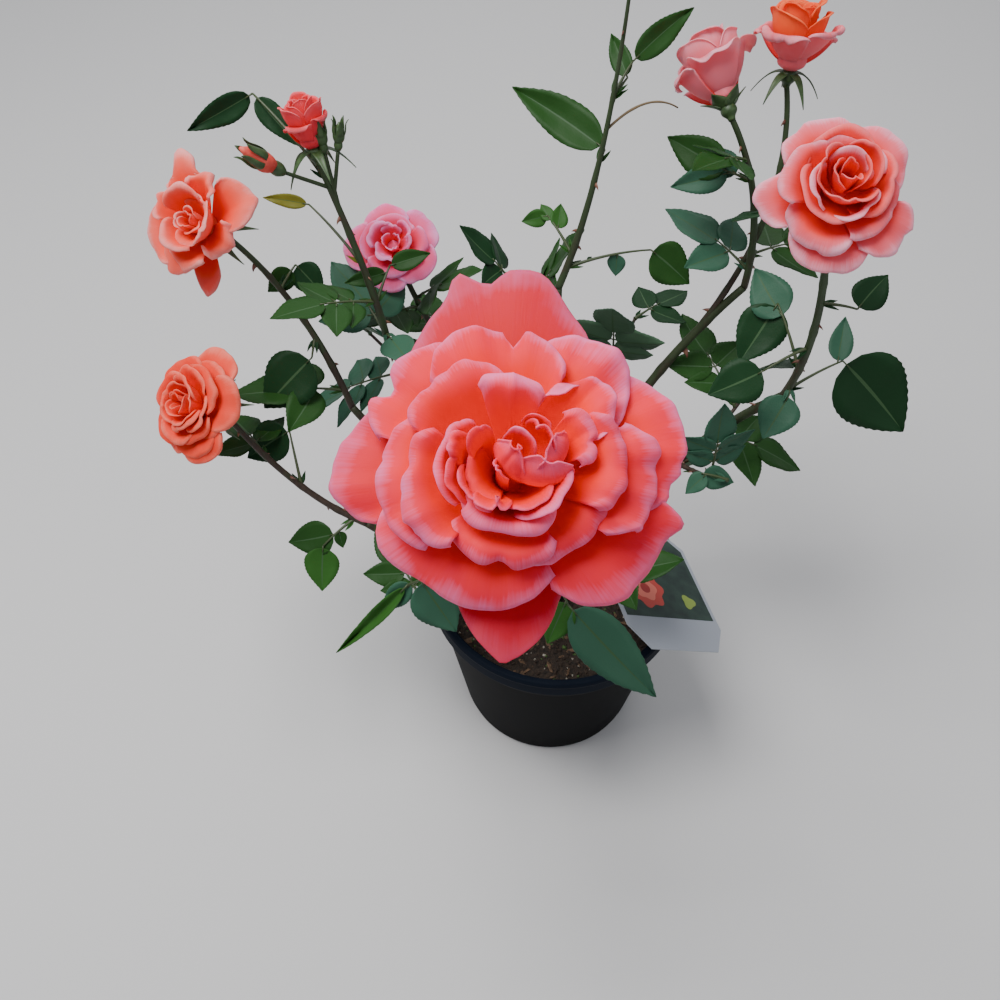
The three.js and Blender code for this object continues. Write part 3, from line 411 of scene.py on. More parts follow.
class Skin:
    """Skins gathered into one mesh"""

    def __init__(self):
        self.points = []
        self.quads = []
        self.quad_looks = []
        self.corner_maps = []
        self.count = 0
        self.faces = 0

    def add(self, points, quads, slots=0, smooth=True, maps=None):
        """quads is an (n, 4) array, with the last corner repeated where a face is a triangle. slots and
        smooth are one value or one for each face. maps is an (n, 4, k) array of places at the corners."""
        looks = np.empty((len(quads), 2), int)
        looks[:, 0] = slots
        looks[:, 1] = smooth
        self.points.append(points.reshape(-1, 3))
        self.quads.append(quads + self.count)
        self.quad_looks.append(looks)
        if maps is not None:
            self.corner_maps.append(maps)
        self.count += points.size // 3
        self.faces += len(quads)

    def build(self, name, materials, map_names=()):
        points = np.concatenate(self.points) * MM
        quads = np.concatenate(self.quads)
        looks = np.concatenate(self.quad_looks)
        three = quads[:, 2] == quads[:, 3]
        keep = np.ones(quads.shape, bool)
        keep[three, 3] = False
        totals = np.where(three, 3, 4)
        starts = np.concatenate([[0], np.cumsum(totals)[:-1]])
        mesh = bpy.data.meshes.new(name)
        mesh.vertices.add(len(points))
        mesh.vertices.foreach_set("co", points.astype(np.float32).ravel())
        mesh.loops.add(int(totals.sum()))
        mesh.loops.foreach_set("vertex_index", quads[keep].astype(np.int32))
        mesh.polygons.add(len(quads))
        mesh.polygons.foreach_set("loop_start", starts.astype(np.int32))
        for material in materials:
            mesh.materials.append(material)
        mesh.polygons.foreach_set("material_index", looks[:, 0].astype(np.int32))
        mesh.polygons.foreach_set("use_smooth", looks[:, 1].astype(bool))
        mesh.update(calc_edges=True)
        if self.corner_maps:
            corners = np.concatenate(self.corner_maps)[keep]
            for k, map_name in enumerate(map_names):
                layer = mesh.uv_layers.new(name=map_name)
                values = corners[:, 2 * k : 2 * k + 2].astype(np.float32)
                layer.data.foreach_set("uv", np.ascontiguousarray(values).ravel())
        made = bpy.data.objects.new(name, mesh)
        bpy.context.scene.collection.objects.link(made)
        return made


@functools.lru_cache(maxsize=None)
def sheet_faces(rows, columns):
    """Faces of a closed sheet of two layers: its upper side, its lower side and its rim"""
    index = np.arange(rows * columns).reshape(rows, columns)
    upper = np.stack([index[:-1, :-1], index[:-1, 1:], index[1:, 1:], index[1:, :-1]], -1).reshape(-1, 4)
    under = upper[:, [0, 3, 2, 1]] + rows * columns
    ring = np.concatenate([index[0], index[1:, -1], index[-1, -2::-1], index[-2:0:-1, 0]])
    after = np.roll(ring, -1)
    rim = np.stack([after, ring, ring + rows * columns, after + rows * columns], -1)
    return upper, under, rim


def normals_of(grid):
    """The upper normals of a grid of points whose columns run across and rows along"""
    across = np.gradient(grid, axis=1)
    along = np.gradient(grid, axis=0)
    return unit(np.cross(across, along) + 1e-9)


def layers_of(grid, thick):
    """A grid's two layers, half of the thickness above it and below it"""
    offset = normals_of(grid) * np.broadcast_to(thick, grid.shape[:2])[..., None] / 2
    return np.stack([grid + offset, grid - offset])


def add_sheet(skin, layers, slots=(0, 0, 0), maps=None):
    """A closed sheet from its two layers, smooth but for its rim. slots are the upper side's, the lower
    side's and the rim's, each one value or one for each face."""
    parts = sheet_faces(*layers.shape[1:3])
    every = np.concatenate([np.full(len(faces), slot) for faces, slot in zip(parts, slots)])
    smooth = np.arange(len(every)) < len(every) - len(parts[2])
    skin.add(layers, np.concatenate(parts), every, smooth, maps)


@functools.lru_cache(maxsize=None)
def tube_faces(rings, sides):
    index = np.arange(rings * sides).reshape(rings, sides)
    after = np.roll(index, -1, axis=1)
    wall = np.stack([index[:-1], after[:-1], after[1:], index[1:]], -1).reshape(-1, 4)
    first, last = rings * sides, rings * sides + 1
    foot = np.stack([np.full(sides, first), after[0], index[0], index[0]], -1)
    head = np.stack([np.full(sides, last), index[-1], after[-1], after[-1]], -1)
    return np.concatenate([wall, foot, head])


def add_tube(skin, path, radii, sides, flat=1.0, hint=None):
    """A closed tube along a path. radii is one for each ring, or one for each point of each ring."""
    ways = unit(np.gradient(path, axis=0))
    first = frame_of(ways[0])[0] if hint is None else hint
    firsts = []
    for way in ways:
        first = unit(first - way * (first @ way))
        firsts.append(first)
    firsts = np.array(firsts)
    seconds = np.cross(ways, firsts) * flat
    angle = angles(sides)[None, :, None]
    radii = np.asarray(radii, float)
    radii = radii[:, None] if radii.ndim == 1 else radii
    out = np.cos(angle) * firsts[:, None] + np.sin(angle) * seconds[:, None]
    rings = path[:, None] + radii[..., None] * out
    skin.add(np.concatenate([rings.reshape(-1, 3), path[:1], path[-1:]]), tube_faces(len(path), sides))


def turned(skin, profile, base, axis, sides, slot=0, swell=None):
    """A round body about an axis from (radius, height) pairs, uneven by a function of height and angle"""
    e1, e2 = frame_of(axis)
    angle = angles(sides)
    radius, height = (np.array(column, float)[:, None] * np.ones(sides) for column in zip(*profile))
    if swell is not None:
        radius = radius * swell(height, angle)
    east = (radius * np.cos(angle))[..., None] * e1
    north = (radius * np.sin(angle))[..., None] * e2
    rings = base + east + north + height[..., None] * axis
    ends = np.array([base + axis * profile[0][1], base + axis * profile[-1][1]])
    skin.add(np.concatenate([rings.reshape(-1, 3), ends]), tube_faces(len(profile), sides), slot)


def rounded(profile, radius, steps=4):
    """A profile with its inner corners rounded"""
    points = [np.array(p, float) for p in profile]
    made = [points[0]]
    for before, corner, after in zip(points, points[1:], points[2:]):
        back = before - corner
        on = after - corner
        r = min(radius, 0.45 * np.linalg.norm(back), 0.45 * np.linalg.norm(on))
        bend = (corner + unit(back) * r, corner, corner + unit(on) * r)
        made.extend(point_on(bend, np.linspace(0, 1, steps + 1)))
    return made + [points[-1]]


def scaled(profile, size):
    return [(radius * size, height * size) for radius, height in profile]


# Compound leaves

LONE_BLADE = 0.62  # where the blade of a leaf of one begins, as a share of its stalk
SIDE_LEAFLETS = {1: [], 3: [(0.68, 0.82)], 5: [(0.46, 0.68), (0.8, 0.84)]}  # share of the stalk, and size
LEAF_ROWS = 28
LEAF_END = 0.2  # half of a blade's width at its foot and its tip, so that no face there is without area
LEAF_TEETH = 13
LEAF_COLUMNS = np.array([-1, -0.7, -0.36, -0.045, 0.045, 0.36, 0.7, 1])
WIDEST = 0.344  # where a blade is widest, as a share of its length
VEIN_SLOT, BACK_SLOT = 5, 6  # in LEAF_COLOURS


def leaflet(skin, base, way, normal, length, slot, draw, width):
    """A leaflet from its base along its way: an oval blade with forward teeth, creased along its midrib,
    with its flesh raised between the side veins"""
    normal = unit(normal - way * (normal @ way))
    tilt = (draw() - 0.5) * 0.35
    side = np.cross(way, normal)
    cos, sin = math.cos(tilt), math.sin(tilt)
    side, normal = side * cos + normal * sin, normal * cos - side * sin
    v = np.linspace(0, 1, LEAF_ROWS)[:, None]
    u = LEAF_COLUMNS[None, :]
    out = np.abs(u)
    oval = v**0.55 * (1 - v) ** 1.05 / (WIDEST**0.55 * (1 - WIDEST) ** 1.05)
    middle = np.sin(math.pi * v)
    tooth = np.mod(v * LEAF_TEETH, 1.0) * (v < 0.97) * (v > 0.06) * (out > 0.99)
    half = np.maximum(width * length / 2 * oval * (1 + 0.055 * tooth), LEAF_END)
    along = v * length + length * 0.018 * tooth
    across = u * half + (draw() - 0.5) * 0.16 * length * v * v
    drop = 0.1 + 0.14 * (draw() - 0.3)
    crease = LEAF["fold"] * length * (0.6 + 0.8 * draw()) * (out - 1) * middle**0.5
    quilt = 0.022 * length * np.cos(2 * math.pi * (6.5 * v - 1.5 * out)) * out * (1.15 - out) * middle
    wave = 0.018 * length * np.sin(2 * math.pi * (1.7 * v + draw())) * u * u * middle
    up = crease - drop * length * v * v + quilt + wave
    grid = base + along[..., None] * way + across[..., None] * side + up[..., None] * normal
    layers = layers_of(grid, LEAF["thick"])
    layers[1][:, np.abs(LEAF_COLUMNS) < 0.1] -= normal * 0.5 * (1 - v[:, :1])[..., None]
    slots = np.full((LEAF_ROWS - 1, len(LEAF_COLUMNS) - 1), slot)
    slots[:, len(LEAF_COLUMNS) // 2 - 1] = VEIN_SLOT
    backs = np.where(slots == VEIN_SLOT, VEIN_SLOT, BACK_SLOT)
    add_sheet(skin, layers, (slots.ravel(), backs.ravel(), slot))


def rachis_length(leaflets):
    return LEAF["petiole"] + LEAF["spacing"] * max(0, (leaflets - 3) / 2) + (8 if leaflets > 1 else 0)


def leaf_plan(root, heading, size, leaflets):
    """The rachis of a compound leaf as a curve, and the (base, way, normal, length) of each leaflet"""
    reach = size * rachis_length(leaflets)
    curve = (root, root + heading * reach * 0.5, root + heading * reach - UP * 0.1 * reach)

    def section(t):
        along = way_on(curve, t)
        left = unit(np.cross(UP, along))
        return point_on(curve, t), along, left, np.cross(along, left)

    blades = []
    for share, scale in SIDE_LEAFLETS[leaflets]:
        step = 1.4 * size / reach
        before, along, left, normal = section(share - step)
        middle = (before + section(share + step)[0]) / 2
        for hand in (1, -1):
            way = unit(along * 0.42 + left * hand * 0.9)
            blades.append((middle, way, normal, size * LEAF["length"] * scale))
    end, along, _, normal = section(1)
    blades.append((end, along, normal, size * LEAF["length"]))
    return curve, blades


def own_plan(root, end, tips):
    """A leaf whose leaflets end where they do in the photo"""
    end = vec(*end)
    curve = (root, (root + end) / 2 + UP * 0.1 * np.linalg.norm(end - root), end)
    blades = []
    for share, tip, _, _ in tips:
        base = point_on(curve, share)
        way = vec(*tip) - base
        blades.append((base, unit(way), unit(vec(*CAMERA["place"]) / MM - base), np.linalg.norm(way)))
    return curve, blades


def heading_at(curve, t, turn):
    """The way of a leaf that leaves a shoot at an angle round it"""
    tangent = way_on(curve, t)
    return unit(around(tangent, math.radians(turn)) + tangent * 0.5 + UP * 0.15)


def leaves_of(name, curve, seed):
    """A shoot's leaves by the source's rule: (root, headings that it may have taken, size, leaflets)"""
    draw = seeded(seed)
    made = []
    for t, place, leaflets in AIMED.get(name, []):
        root = point_on(curve, t)
        way = vec(*place) - root
        far = np.linalg.norm(way)
        size = far / (rachis_length(leaflets) + LEAF["length"])
        made.append((root, [unit(way + UP * 0.12 * far)], size, leaflets))
    count, first, last, first_turn, full_size = SPIRALS[name]
    for i in range(count):
        share = i / max(1, count - 1)
        t = lerp(first, last, share)
        turn = first_turn + i * GOLDEN_ANGLE + (draw() - 0.5) * 30
        size = full_size * (1 - 0.25 * share) * (0.9 + 0.2 * draw())
        headings = [heading_at(curve, t, turn + more) for more in (0, 24, -24, 48, -48, 75, -75)]
        made.append((point_on(curve, t), headings, size, 5 if i % 3 == 1 else 3))
    return made


def corners_of(node):
    """A look-up of a solid's corners, in millimetres"""
    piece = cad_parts[node]
    tree = KDTree(len(piece.data.vertices))
    for i, vertex in enumerate(piece.data.vertices):
        tree.insert(piece.matrix_world @ vertex.co / MM, i)
    tree.balance()
    return tree


def solid_plan(tree, root, headings, size, leaflets):
    """The heading and the plan of a leaf that has its tip where the solids have a corner, or nothing"""
    for heading in headings:
        plan = leaf_plan(root, heading, size, leaflets)
        base, way, normal, length = plan[1][-1]
        tip = base + way * length - normal * 0.1 * length
        if tree.find(Vector(tip))[2] < 0.4:
            return heading, plan
    return None, None


def add_leaf(leaves, stems, plan, looks, draw, own):
    """A leaf with its rachis, the short stalks of its side leaflets and the two stipules at its foot"""
    curve, blades = plan
    if len(blades) == 1 and not own:
        base, way, normal, length = blades[0]
        foot = point_on(curve, LONE_BLADE)
        blade = base + way * length - foot
        blades = [(foot, unit(blade), normal, np.linalg.norm(blade))]
        curve = (curve[0], lerp(curve[0], foot, 0.5), foot)
    t = np.linspace(0, 1, 10)
    path = point_on(curve, t)
    add_tube(stems, path, lerp(1.25, 0.62, t) * (1 + 0.5 * np.exp(-((t / 0.1) ** 2))), 7)
    for (base, way, normal, length), (green, width) in zip(blades, looks):
        foot = base + way * 0.05 * length
        middle = base + way * (0.05 * length) * 1.5
        add_tube(stems, np.array([base, foot, middle + way * 2]), [0.62, 0.55, 0.4], 6)
        leaflet(leaves, foot, way, normal, length * 0.97, green, draw, width)
    foot_way = way_on(curve, 0.1)
    left = unit(np.cross(UP, foot_way))
    for hand in (1, -1):
        way = unit(foot_way + left * hand * 0.35)
        leaflet(leaves, path[0] + foot_way * 2 + left * hand, way, UP, 9, looks[0][0], draw, 0.3)


# Canes, stems and what grows on them

# Limbs: how many sides, how many rings, and where their unevenness starts
LIMBS = {"cane": (20, 72, 0), "shoot": (14, 44, 20), "twig": (9, 26, 60)}
PRICKLES = {"cane": (7, 5.4), "shoot": (5, 3.6)}  # how many, and their size
SHOOT_JOINTS = (0.2, 0.45, 0.7)
TWIG_JOINTS = (0.35, 0.7)
SEPAL_ROWS = 12
SEPAL_COLUMNS = np.array([-1, -0.5, 0, 0.5, 1])
# Reach, drop and width of a bloom's sepals, and of those that stand up round the drooping one
SEPALS = (HIP["sepal"], HIP["bent"], 4)
FULL_SEPALS = (15, -15, 8)


def uneven(seed, angle, along):
    """A smooth unevenness round and along a limb, about 1"""
    phase = seed * 1.7
    slow = np.sin(along * 6.3 + phase) * np.cos(2 * angle + phase * 0.7)
    quick = np.sin(along * 31 + phase * 2.3 + 3 * np.sin(angle)) * np.sin(3 * angle + along * 9)
    return 1 + 0.03 * slow + 0.02 * quick


def add_limb(skin, curve, radii, kind, number, joints):
    """A tapering limb whose skin is uneven and swells at its leaf joints"""
    sides, rings, first = LIMBS[kind]
    t = np.linspace(0, 1, rings)
    radius = lerp(*radii, t)[:, None] * uneven(first + number, angles(sides)[None, :], t[:, None])
    length = np.linalg.norm(curve[2] - curve[0])
    for joint in joints:
        radius = radius * (1 + 0.16 * np.exp(-(((t - joint) * length / 3.2) ** 2)))[:, None]
    add_tube(skin, point_on(curve, t), radius, sides)


def add_prickles(skin, curve, radii, kind, draw):
    """Flat hooked prickles, pointing back down the limb"""
    count, size = PRICKLES[kind]
    for i in range(count):
        t = 0.08 + 0.86 * (i + 0.7 * draw()) / count
        way = way_on(curve, t)
        out = around(way, math.radians(i * GOLDEN_ANGLE + 60 * draw()))
        root = point_on(curve, t) + out * lerp(*radii, t) * 0.8
        tall = size * (0.7 + 0.5 * draw())
        s = np.linspace(0, 1, 6)[:, None]
        path = root + out * tall * s - way * tall * 0.55 * s * s
        add_tube(skin, path, tall * 0.42 * (1 - s[:, 0]) ** 0.8 + 0.06, 6, 0.45, way)


def add_sepal(skin, base, axis, angle, reach, drop, wide):
    """A narrow sepal that leaves the top of the hip and arches out and down to a thread-like tip"""
    out = around(axis, angle)
    side = np.cross(out, axis)
    s = np.linspace(0, 1, SEPAL_ROWS)[:, None]
    start = base + out * 3 + axis * 7
    bend = base + out * reach * 0.55 + axis * (9 if drop > 0 else 12)
    end = base + out * reach - axis * drop
    spine = point_on((start, bend, end), s[:, 0])
    half = wide * (1 - s) ** 0.8 * (0.55 + 1.6 * s * (1 - s)) + 0.12
    u = SEPAL_COLUMNS[None, :]
    grid = spine[:, None] + (u * half)[..., None] * side + ((1 - u * u) * -0.25 * half)[..., None] * axis
    add_sheet(skin, layers_of(grid, 0.5))


def add_hip(skin, base, axis, seed, full):
    """The green hip under a bloom, with its five sepals"""
    profile = [(2.2, -2), (2.6, 0), (HIP["radius"], 3), (HIP["radius"], 6), (HIP["seat"], 9.2)]
    turned(skin, rounded(profile, 2), base, axis, 18)
    draw = seeded(seed)
    reach, drop, wide = FULL_SEPALS if full else SEPALS
    for k in range(5):
        angle = math.radians(72 * k + HIP["turn"] + 8 * (draw() - 0.5))
        add_sepal(skin, base, axis, angle, reach * (0.95 + 0.1 * draw()), drop, wide)


def add_bud(greens, petals, base, axis, size, shows):
    """A closed bud: a round hip, the petals' tip where it shows, and five sepals that clasp it"""

    def twisted(height, angle):
        return 1 + 0.05 * np.sin(3 * angle + height * 0.25 / size)

    hip = [(1.4, -1), (2.2, 0), (3.4, 2.5), (3.3, 5), (2.8, 6.5)]
    turned(greens, rounded(scaled(hip, size), 1), base, axis, 12)
    top = 24 if shows else 21
    egg = [(2.4, 5), (4.2, 8), (4.7, 11.5), (4.0, 15.5), (2.4, top - 3.5), (0.7, top)]
    turned(petals if shows else greens, rounded(scaled(egg, size), 2), base, axis, 20, 0, twisted)
    s = np.linspace(0, 1, SEPAL_ROWS)[:, None]
    clasp = np.interp(s[:, 0] * 24, [0, 5, 8, 11.5, 15.5, 20, 24], [2.6, 3.2, 4.5, 5.0, 4.3, 2.8, 1.9])
    spread = (3.0 if shows else 5.0) * s[:, 0] ** 4
    half = size * 2.9 * (1 - s) ** 0.7 * (0.6 + s) + 0.1
    u = SEPAL_COLUMNS[None, :]
    for k in range(5):
        out = around(axis, math.radians(72 * k))
        side = np.cross(out, axis)
        spine = base + out * ((clasp + spread) * size)[:, None] + axis * (6 + 18 * s) * size
        grid = spine[:, None] + (u * half)[..., None] * side - (u * u * 0.3 * half)[..., None] * out
        add_sheet(greens, layers_of(grid[:, ::-1], 0.4))


# Petals

FOOT_RADIUS = 4
FRONT_STEPS = (36, 18, 7)  # columns, rows and rows of the lip of the largest bloom's large petals
USUAL_STEPS = (22, 12, 5)
PETAL_PLACES = (0, 0.6, 1)  # along a petal, and how thick it is there
PETAL_THICK = (0.9, 0.6, 0.4)
LIP_SHARE = 0.12  # of the map along a petal that its rolled lip takes
WAVES = ((1, 2, 1.4), (0.45, 3, 3.3), (0.15, 5, 7.1))  # share of the wave, how steeply it grows, its humps


def petal_body(petal, u, v):
    """The source's petal, with marks on its margin: u across it from -1 to 1, v from foot to margin"""
    reach, cup, base = petal["reach"], petal["cup"], petal["base"]
    rise = petal["lift"] - base
    w = v * (1 - 0.26 * np.abs(u) ** 3)
    far = reach - petal["point"] * np.abs(u) * v - petal["lean"] * v**2
    for place, width, deep in petal["marks"]:
        far = far + deep * np.exp(-(((u - place) / width) ** 2)) * v**3
    first = (lerp(FOOT_RADIUS + 0.2 * reach, 0.85 * reach, cup), lerp(0.6, 0.08, cup) * rise)
    second = (lerp(0.6, 1.02, cup) * reach, lerp(1.02, 0.55, cup) * rise)
    shares = ((1 - w) ** 3, 3 * (1 - w) ** 2 * w, 3 * (1 - w) * w * w, w**3)
    out = shares[0] * FOOT_RADIUS + shares[1] * first[0] + shares[2] * second[0] + shares[3] * far
    rolled = petal["roll"] * np.clip((w - 0.7) / 0.3, 0, None) ** 2
    up = base + shares[1] * first[1] + shares[2] * second[1] + shares[3] * rise - rolled
    side = petal["turn"] + math.radians(petal["half"]) * u
    tucked = out * (1 + 0.05 * u)
    east, north = petal["offset"]
    return np.stack([tucked * np.cos(side) + east, tucked * np.sin(side) + north, up], -1)


def petal_grid(petal, columns, rows, lip_rows):
    """A petal's points and their (across, along) places, with a lip that rolls over past the margin"""
    u = np.linspace(1, -1, columns)[None, :]
    v = np.linspace(0, 1, rows)[:, None]
    draw = petal["draw"]
    phases = [draw() * 6.28 for _ in range(5)]
    body = petal_body(petal, u + 0 * v, v + 0 * u)
    calm = min(1, (petal["reach"] / 45) ** 1.5)
    swell = petal["fold"] * v * (np.abs(u) ** 0.8 - 0.5)
    for (share, power, humps), phase, quiet in zip(WAVES, phases, (1, 1, calm)):
        wave = share * quiet * petal["wave"] * calm * v**power
        swell = swell + wave * np.sin(humps * math.pi * u + phase)
    body = body + normals_of(body) * (swell * petal["scale"])[..., None]
    edge = body[-1]
    along = unit(edge - body[-2])
    normal = normals_of(body)[-1]
    u = u[0]
    ragged = petal["ragged"] * calm
    length = petal["lip"] * petal["scale"] * (1 - 0.45 * np.abs(u) ** 3)
    length = length * (1 + 0.16 * np.sin(5.3 * u + phases[3]) + 0.07 * ragged * np.sin(17 * u + phases[4]))
    for _ in range(int(2 + 2 * ragged)):
        nick = np.exp(-(((u - 1.8 * (draw() - 0.5)) / 0.045) ** 2))
        length = length * (1 - 0.4 * min(1.0, ragged) * draw() * nick)
    turn = math.radians(petal["curl"]) * (1 + 0.2 * np.sin(2.7 * u + phases[1]))
    turn = np.where(np.abs(turn) < 0.05, 0.05, turn)
    radius = length / turn
    lip = np.linspace(0, 1, lip_rows + 1)[1:]
    a = turn * lip[:, None]
    rolled = edge + along * (radius * np.sin(a))[..., None] - normal * (radius * (1 - np.cos(a)))[..., None]
    grid = np.concatenate([body, rolled])
    places = np.concatenate([v[:, 0] * (1 - LIP_SHARE), 1 - LIP_SHARE + LIP_SHARE * lip])
    return grid, np.stack(np.broadcast_arrays(u[None, :] / 2 + 0.5, places[:, None]), -1)


def petals_of(bloom, seed):
    """The petals of a bloom from the outside in, in the bloom's own frame"""
    random = seeded(seed)
    turn = math.radians(bloom["turn"])
    rows = []
    for count, reach, lift, half, roll, cup in bloom["whorls"]:
        turn += math.radians(180 / count)
        for i in range(count):
            rows.append({
                "turn": turn + 2 * math.pi * i / count + math.radians(12) * (random() - 0.5),
                "reach": reach * (0.94 + 0.12 * random()), "lift": lift + 2.5 * i,
                "half": half, "roll": roll, "cup": cup, "point": 0,
            })
    if not rows:
        rows = [dict(zip(FRONT_KEYS, row)) for row in FRONT_PETALS]
        for row in rows:
            row["turn"] = math.radians(row["turn"])
    for i, row in enumerate(rows):
        row["base"] = 1.5 + (HEART["height"] - 4) * i / len(rows)
        row["share"] = i / len(rows)
    return rows


def finer_petals(bloom, draw):
    """What the solids leave out: small petals in the heart, between those of the last whorl"""
    made = []
    if bloom["heart"] == "own":
        for row in FRONT_HEART:
            made.append({"wave": 0.4, "ragged": 0.3, "share": 1.5, **dict(zip(HEART_KEYS, row))})
            made[-1]["turn"] = math.radians(made[-1]["turn"])
            made[-1]["curl"] = 30 + 50 * draw()
    else:
        turn = draw() * 6.28
        for count, reach, lift, half, cup in FINER_WHORLS[bloom["heart"]]:
            turn += math.pi / count
            for i in range(count):
                made.append({
                    "turn": turn + 2 * math.pi * i / count + 0.3 * (draw() - 0.5),
                    "reach": reach * (0.92 + 0.16 * draw()), "lift": lift + 2 * draw(),
                    "curl": 60 + 60 * draw(),
                    "half": half, "cup": cup, "offset": bloom["off"], "share": 0.85,
                })
    for row in made:
        row["base"] = 9 + 2 * draw()
        row["roll"] = 0.5
        row["lip"] = min(4, 0.16 * row["reach"])
    return made


def whole_petal(row, traits, size, draw):
    """A petal's row with what is left to chance, what singles it out, and its reach shortened by its lip"""
    swelling = (1.6 * (draw() - 0.5), 0.2, 3 * (draw() - 0.45))
    dip = (1.6 * (draw() - 0.5), 0.12, -1.5 * draw())
    petal = {
        "marks": [swelling, dip], "curl": 70 + 90 * draw(), "lip": 3.5 + 2 * draw(),
        "wave": 0.9 + 0.8 * draw(), "fold": 0, "ragged": 0.7, "red": 0, "lean": 0, "point": 0,
        "offset": (0, 0), "draw": draw, "scale": size, **row, **traits,
    }
    if "turn" in traits:
        petal["turn"] = math.radians(traits["turn"])
    bent = max(0.2, math.radians(abs(petal["curl"])))
    petal["reach"] -= petal["lip"] * (math.sin(bent) if bent < math.pi / 2 else 1) / bent
    petal["reach"] = max(petal["reach"], 4) * size
    petal["lift"] *= size
    return petal


def atlas_cell(number, count):
    """The corner and the size of a petal side's cell in the bloom's own map"""
    across = math.ceil(math.sqrt(count))
    return vec(number % across, number // across) / across, 0.94 / across


def bloom_piece(name, bloom, number, materials):
    """A bloom: its petals, each a closed sheet, round a heart, set on the hip of its shoot"""
    shoot = SHOOTS[bloom["shoot"]]
    size = bloom["size"]
    axis = unit(vec(*shoot["aim"]))
    base = vec(*shoot["tip"]) + axis * (HIP["height"] + GAP)
    e1, e2 = frame_of(axis)
    draw = seeded(SEEDS["fine_petals"] + number)
    rows = petals_of(bloom, SEEDS["blooms"] + number) + finer_petals(bloom, draw)
    fine = name == "front"
    count = 2 * len(rows) + 1
    skin = Skin()
    for k, row in enumerate(rows):
        petal = whole_petal(row, TRAITS.get(name, {}).get(k, {}), size, draw)
        steps = FRONT_STEPS if fine and row["reach"] > 16 else USUAL_STEPS
        grid, places = petal_grid(petal, *steps)
        local = layers_of(grid, np.interp(places[..., 1], PETAL_PLACES, PETAL_THICK))
        placed = base + local[..., :1] * e1 + local[..., 1:2] * e2 + local[..., 2:] * axis
        places = places.reshape(-1, 2)
        tones = np.broadcast_to([1 - petal["share"], petal["red"]], places.shape)
        maps = []
        for side, faces in zip((0, 1, 0), sheet_faces(*grid.shape[:2])):
            corner, cell = atlas_cell(2 * k + side, count)
            own = np.concatenate([places, tones, corner + 0.03 * cell + places * cell], 1)
            maps.append(own[faces % len(places)])
        add_sheet(skin, placed, (0, 1, 0), np.concatenate(maps))
    belly = HEART["belly"] * min(1, size)
    heart = [(HEART["foot"], -0.3), (belly, 2.5), (belly, 9), (3 * min(1, size), 12)]
    before = skin.faces
    turned(skin, rounded(heart, 2), base, axis, 24, 0 if fine else 1)
    corner, cell = atlas_cell(count - 1, count)
    own = np.concatenate([[0.5, 0.1, 0.3, 0], corner + 0.5 * cell])
    skin.corner_maps.append(np.broadcast_to(own, (skin.faces - before, 4, 6)))
    return skin.build("bloom_" + name + "_petals", materials, ("petal", "tone", "OFBake"))


# Materials

# Of the leaves' upper sides and of their veins and backs: roughness, shine, fineness and depth of the grain
UPPER_SIDE = (0.5, 0.14, 900, 0.25)
OTHER_SIDE = (0.6, 0.3, 700, 0.2)
LEAF_COLOURS = {
    "deep": ((0.009, 0.038, 0.012), UPPER_SIDE),
    "dark": ((0.016, 0.058, 0.010), UPPER_SIDE),
    "blue": ((0.034, 0.098, 0.058), UPPER_SIDE),
    "fresh": ((0.026, 0.095, 0.014), UPPER_SIDE),
    "yellow": ((0.13, 0.13, 0.015), UPPER_SIDE),
    "vein": ((0.035, 0.085, 0.03), OTHER_SIDE),
    "back": ((0.045, 0.10, 0.05), OTHER_SIDE),
}

# Grainy materials: dark and light colour, fineness of the grain, roughness, strength and height of bumps
SPECKLED = {
    "calyx_green": ((0.022, 0.050, 0.013), (0.05, 0.10, 0.028), 260, 0.42, 0.2, 0.0003),
    "prickle_red": ((0.12, 0.035, 0.025), (0.22, 0.10, 0.06), 300, 0.35, 0.1, 0.0002),
    "bud_red": ((0.55, 0.03, 0.02), (0.80, 0.10, 0.07), 160, 0.5, 0.2, 0.0004),
    "soil_dark": ((0.010, 0.007, 0.005), (0.045, 0.028, 0.018), 380, 0.85, 1.0, 0.002),
    "soil_crumb": ((0.012, 0.008, 0.006), (0.055, 0.034, 0.022), 500, 0.85, 0.6, 0.001),
    "stone_grain": ((0.20, 0.17, 0.13), (0.42, 0.38, 0.32), 500, 0.7, 0.3, 0.0005),
    "bark_splinter": ((0.05, 0.028, 0.014), (0.16, 0.09, 0.05), 300, 0.8, 0.6, 0.001),
    "moss_speck": ((0.03, 0.07, 0.015), (0.09, 0.16, 0.04), 500, 0.8, 0.6, 0.001),
    "print_green": ((0.006, 0.016, 0.012), (0.02, 0.045, 0.03), 110, 0.28, 0.02, 0.0001),
}

# Barks: young and old colour, roughness, and in metres the height of the cracks and the two heights between
# which old bark turns young
BARKS = {
    "cane_bark": ((0.030, 0.045, 0.014), (0.045, 0.030, 0.016), 0.5, 0.0008, 0.17, 0.36),
    "old_bark": ((0.060, 0.042, 0.022), (0.050, 0.034, 0.022), 0.65, 0.0016, 0.17, 0.24),
    "shoot_skin": ((0.032, 0.055, 0.018), (0.050, 0.030, 0.020), 0.45, 0.0003, 0.2, 0.5),
    "dead_twig": ((0.20, 0.14, 0.075), (0.16, 0.11, 0.06), 0.75, 0.0006, 0.1, 0.6),
}
INKS = {
    "coral": (0.50, 0.05, 0.035), "rose": (0.70, 0.16, 0.11),
    "deep": (0.35, 0.02, 0.015), "lime": (0.22, 0.30, 0.05),
}
POT_WALL = (0.0008, 0.0009, 0.0014)
# The lip's bluish colour is a painted highlight, the sky's sheen on the rolled lip
POT_LIP_SHEEN = (0.0055, 0.0085, 0.0155)


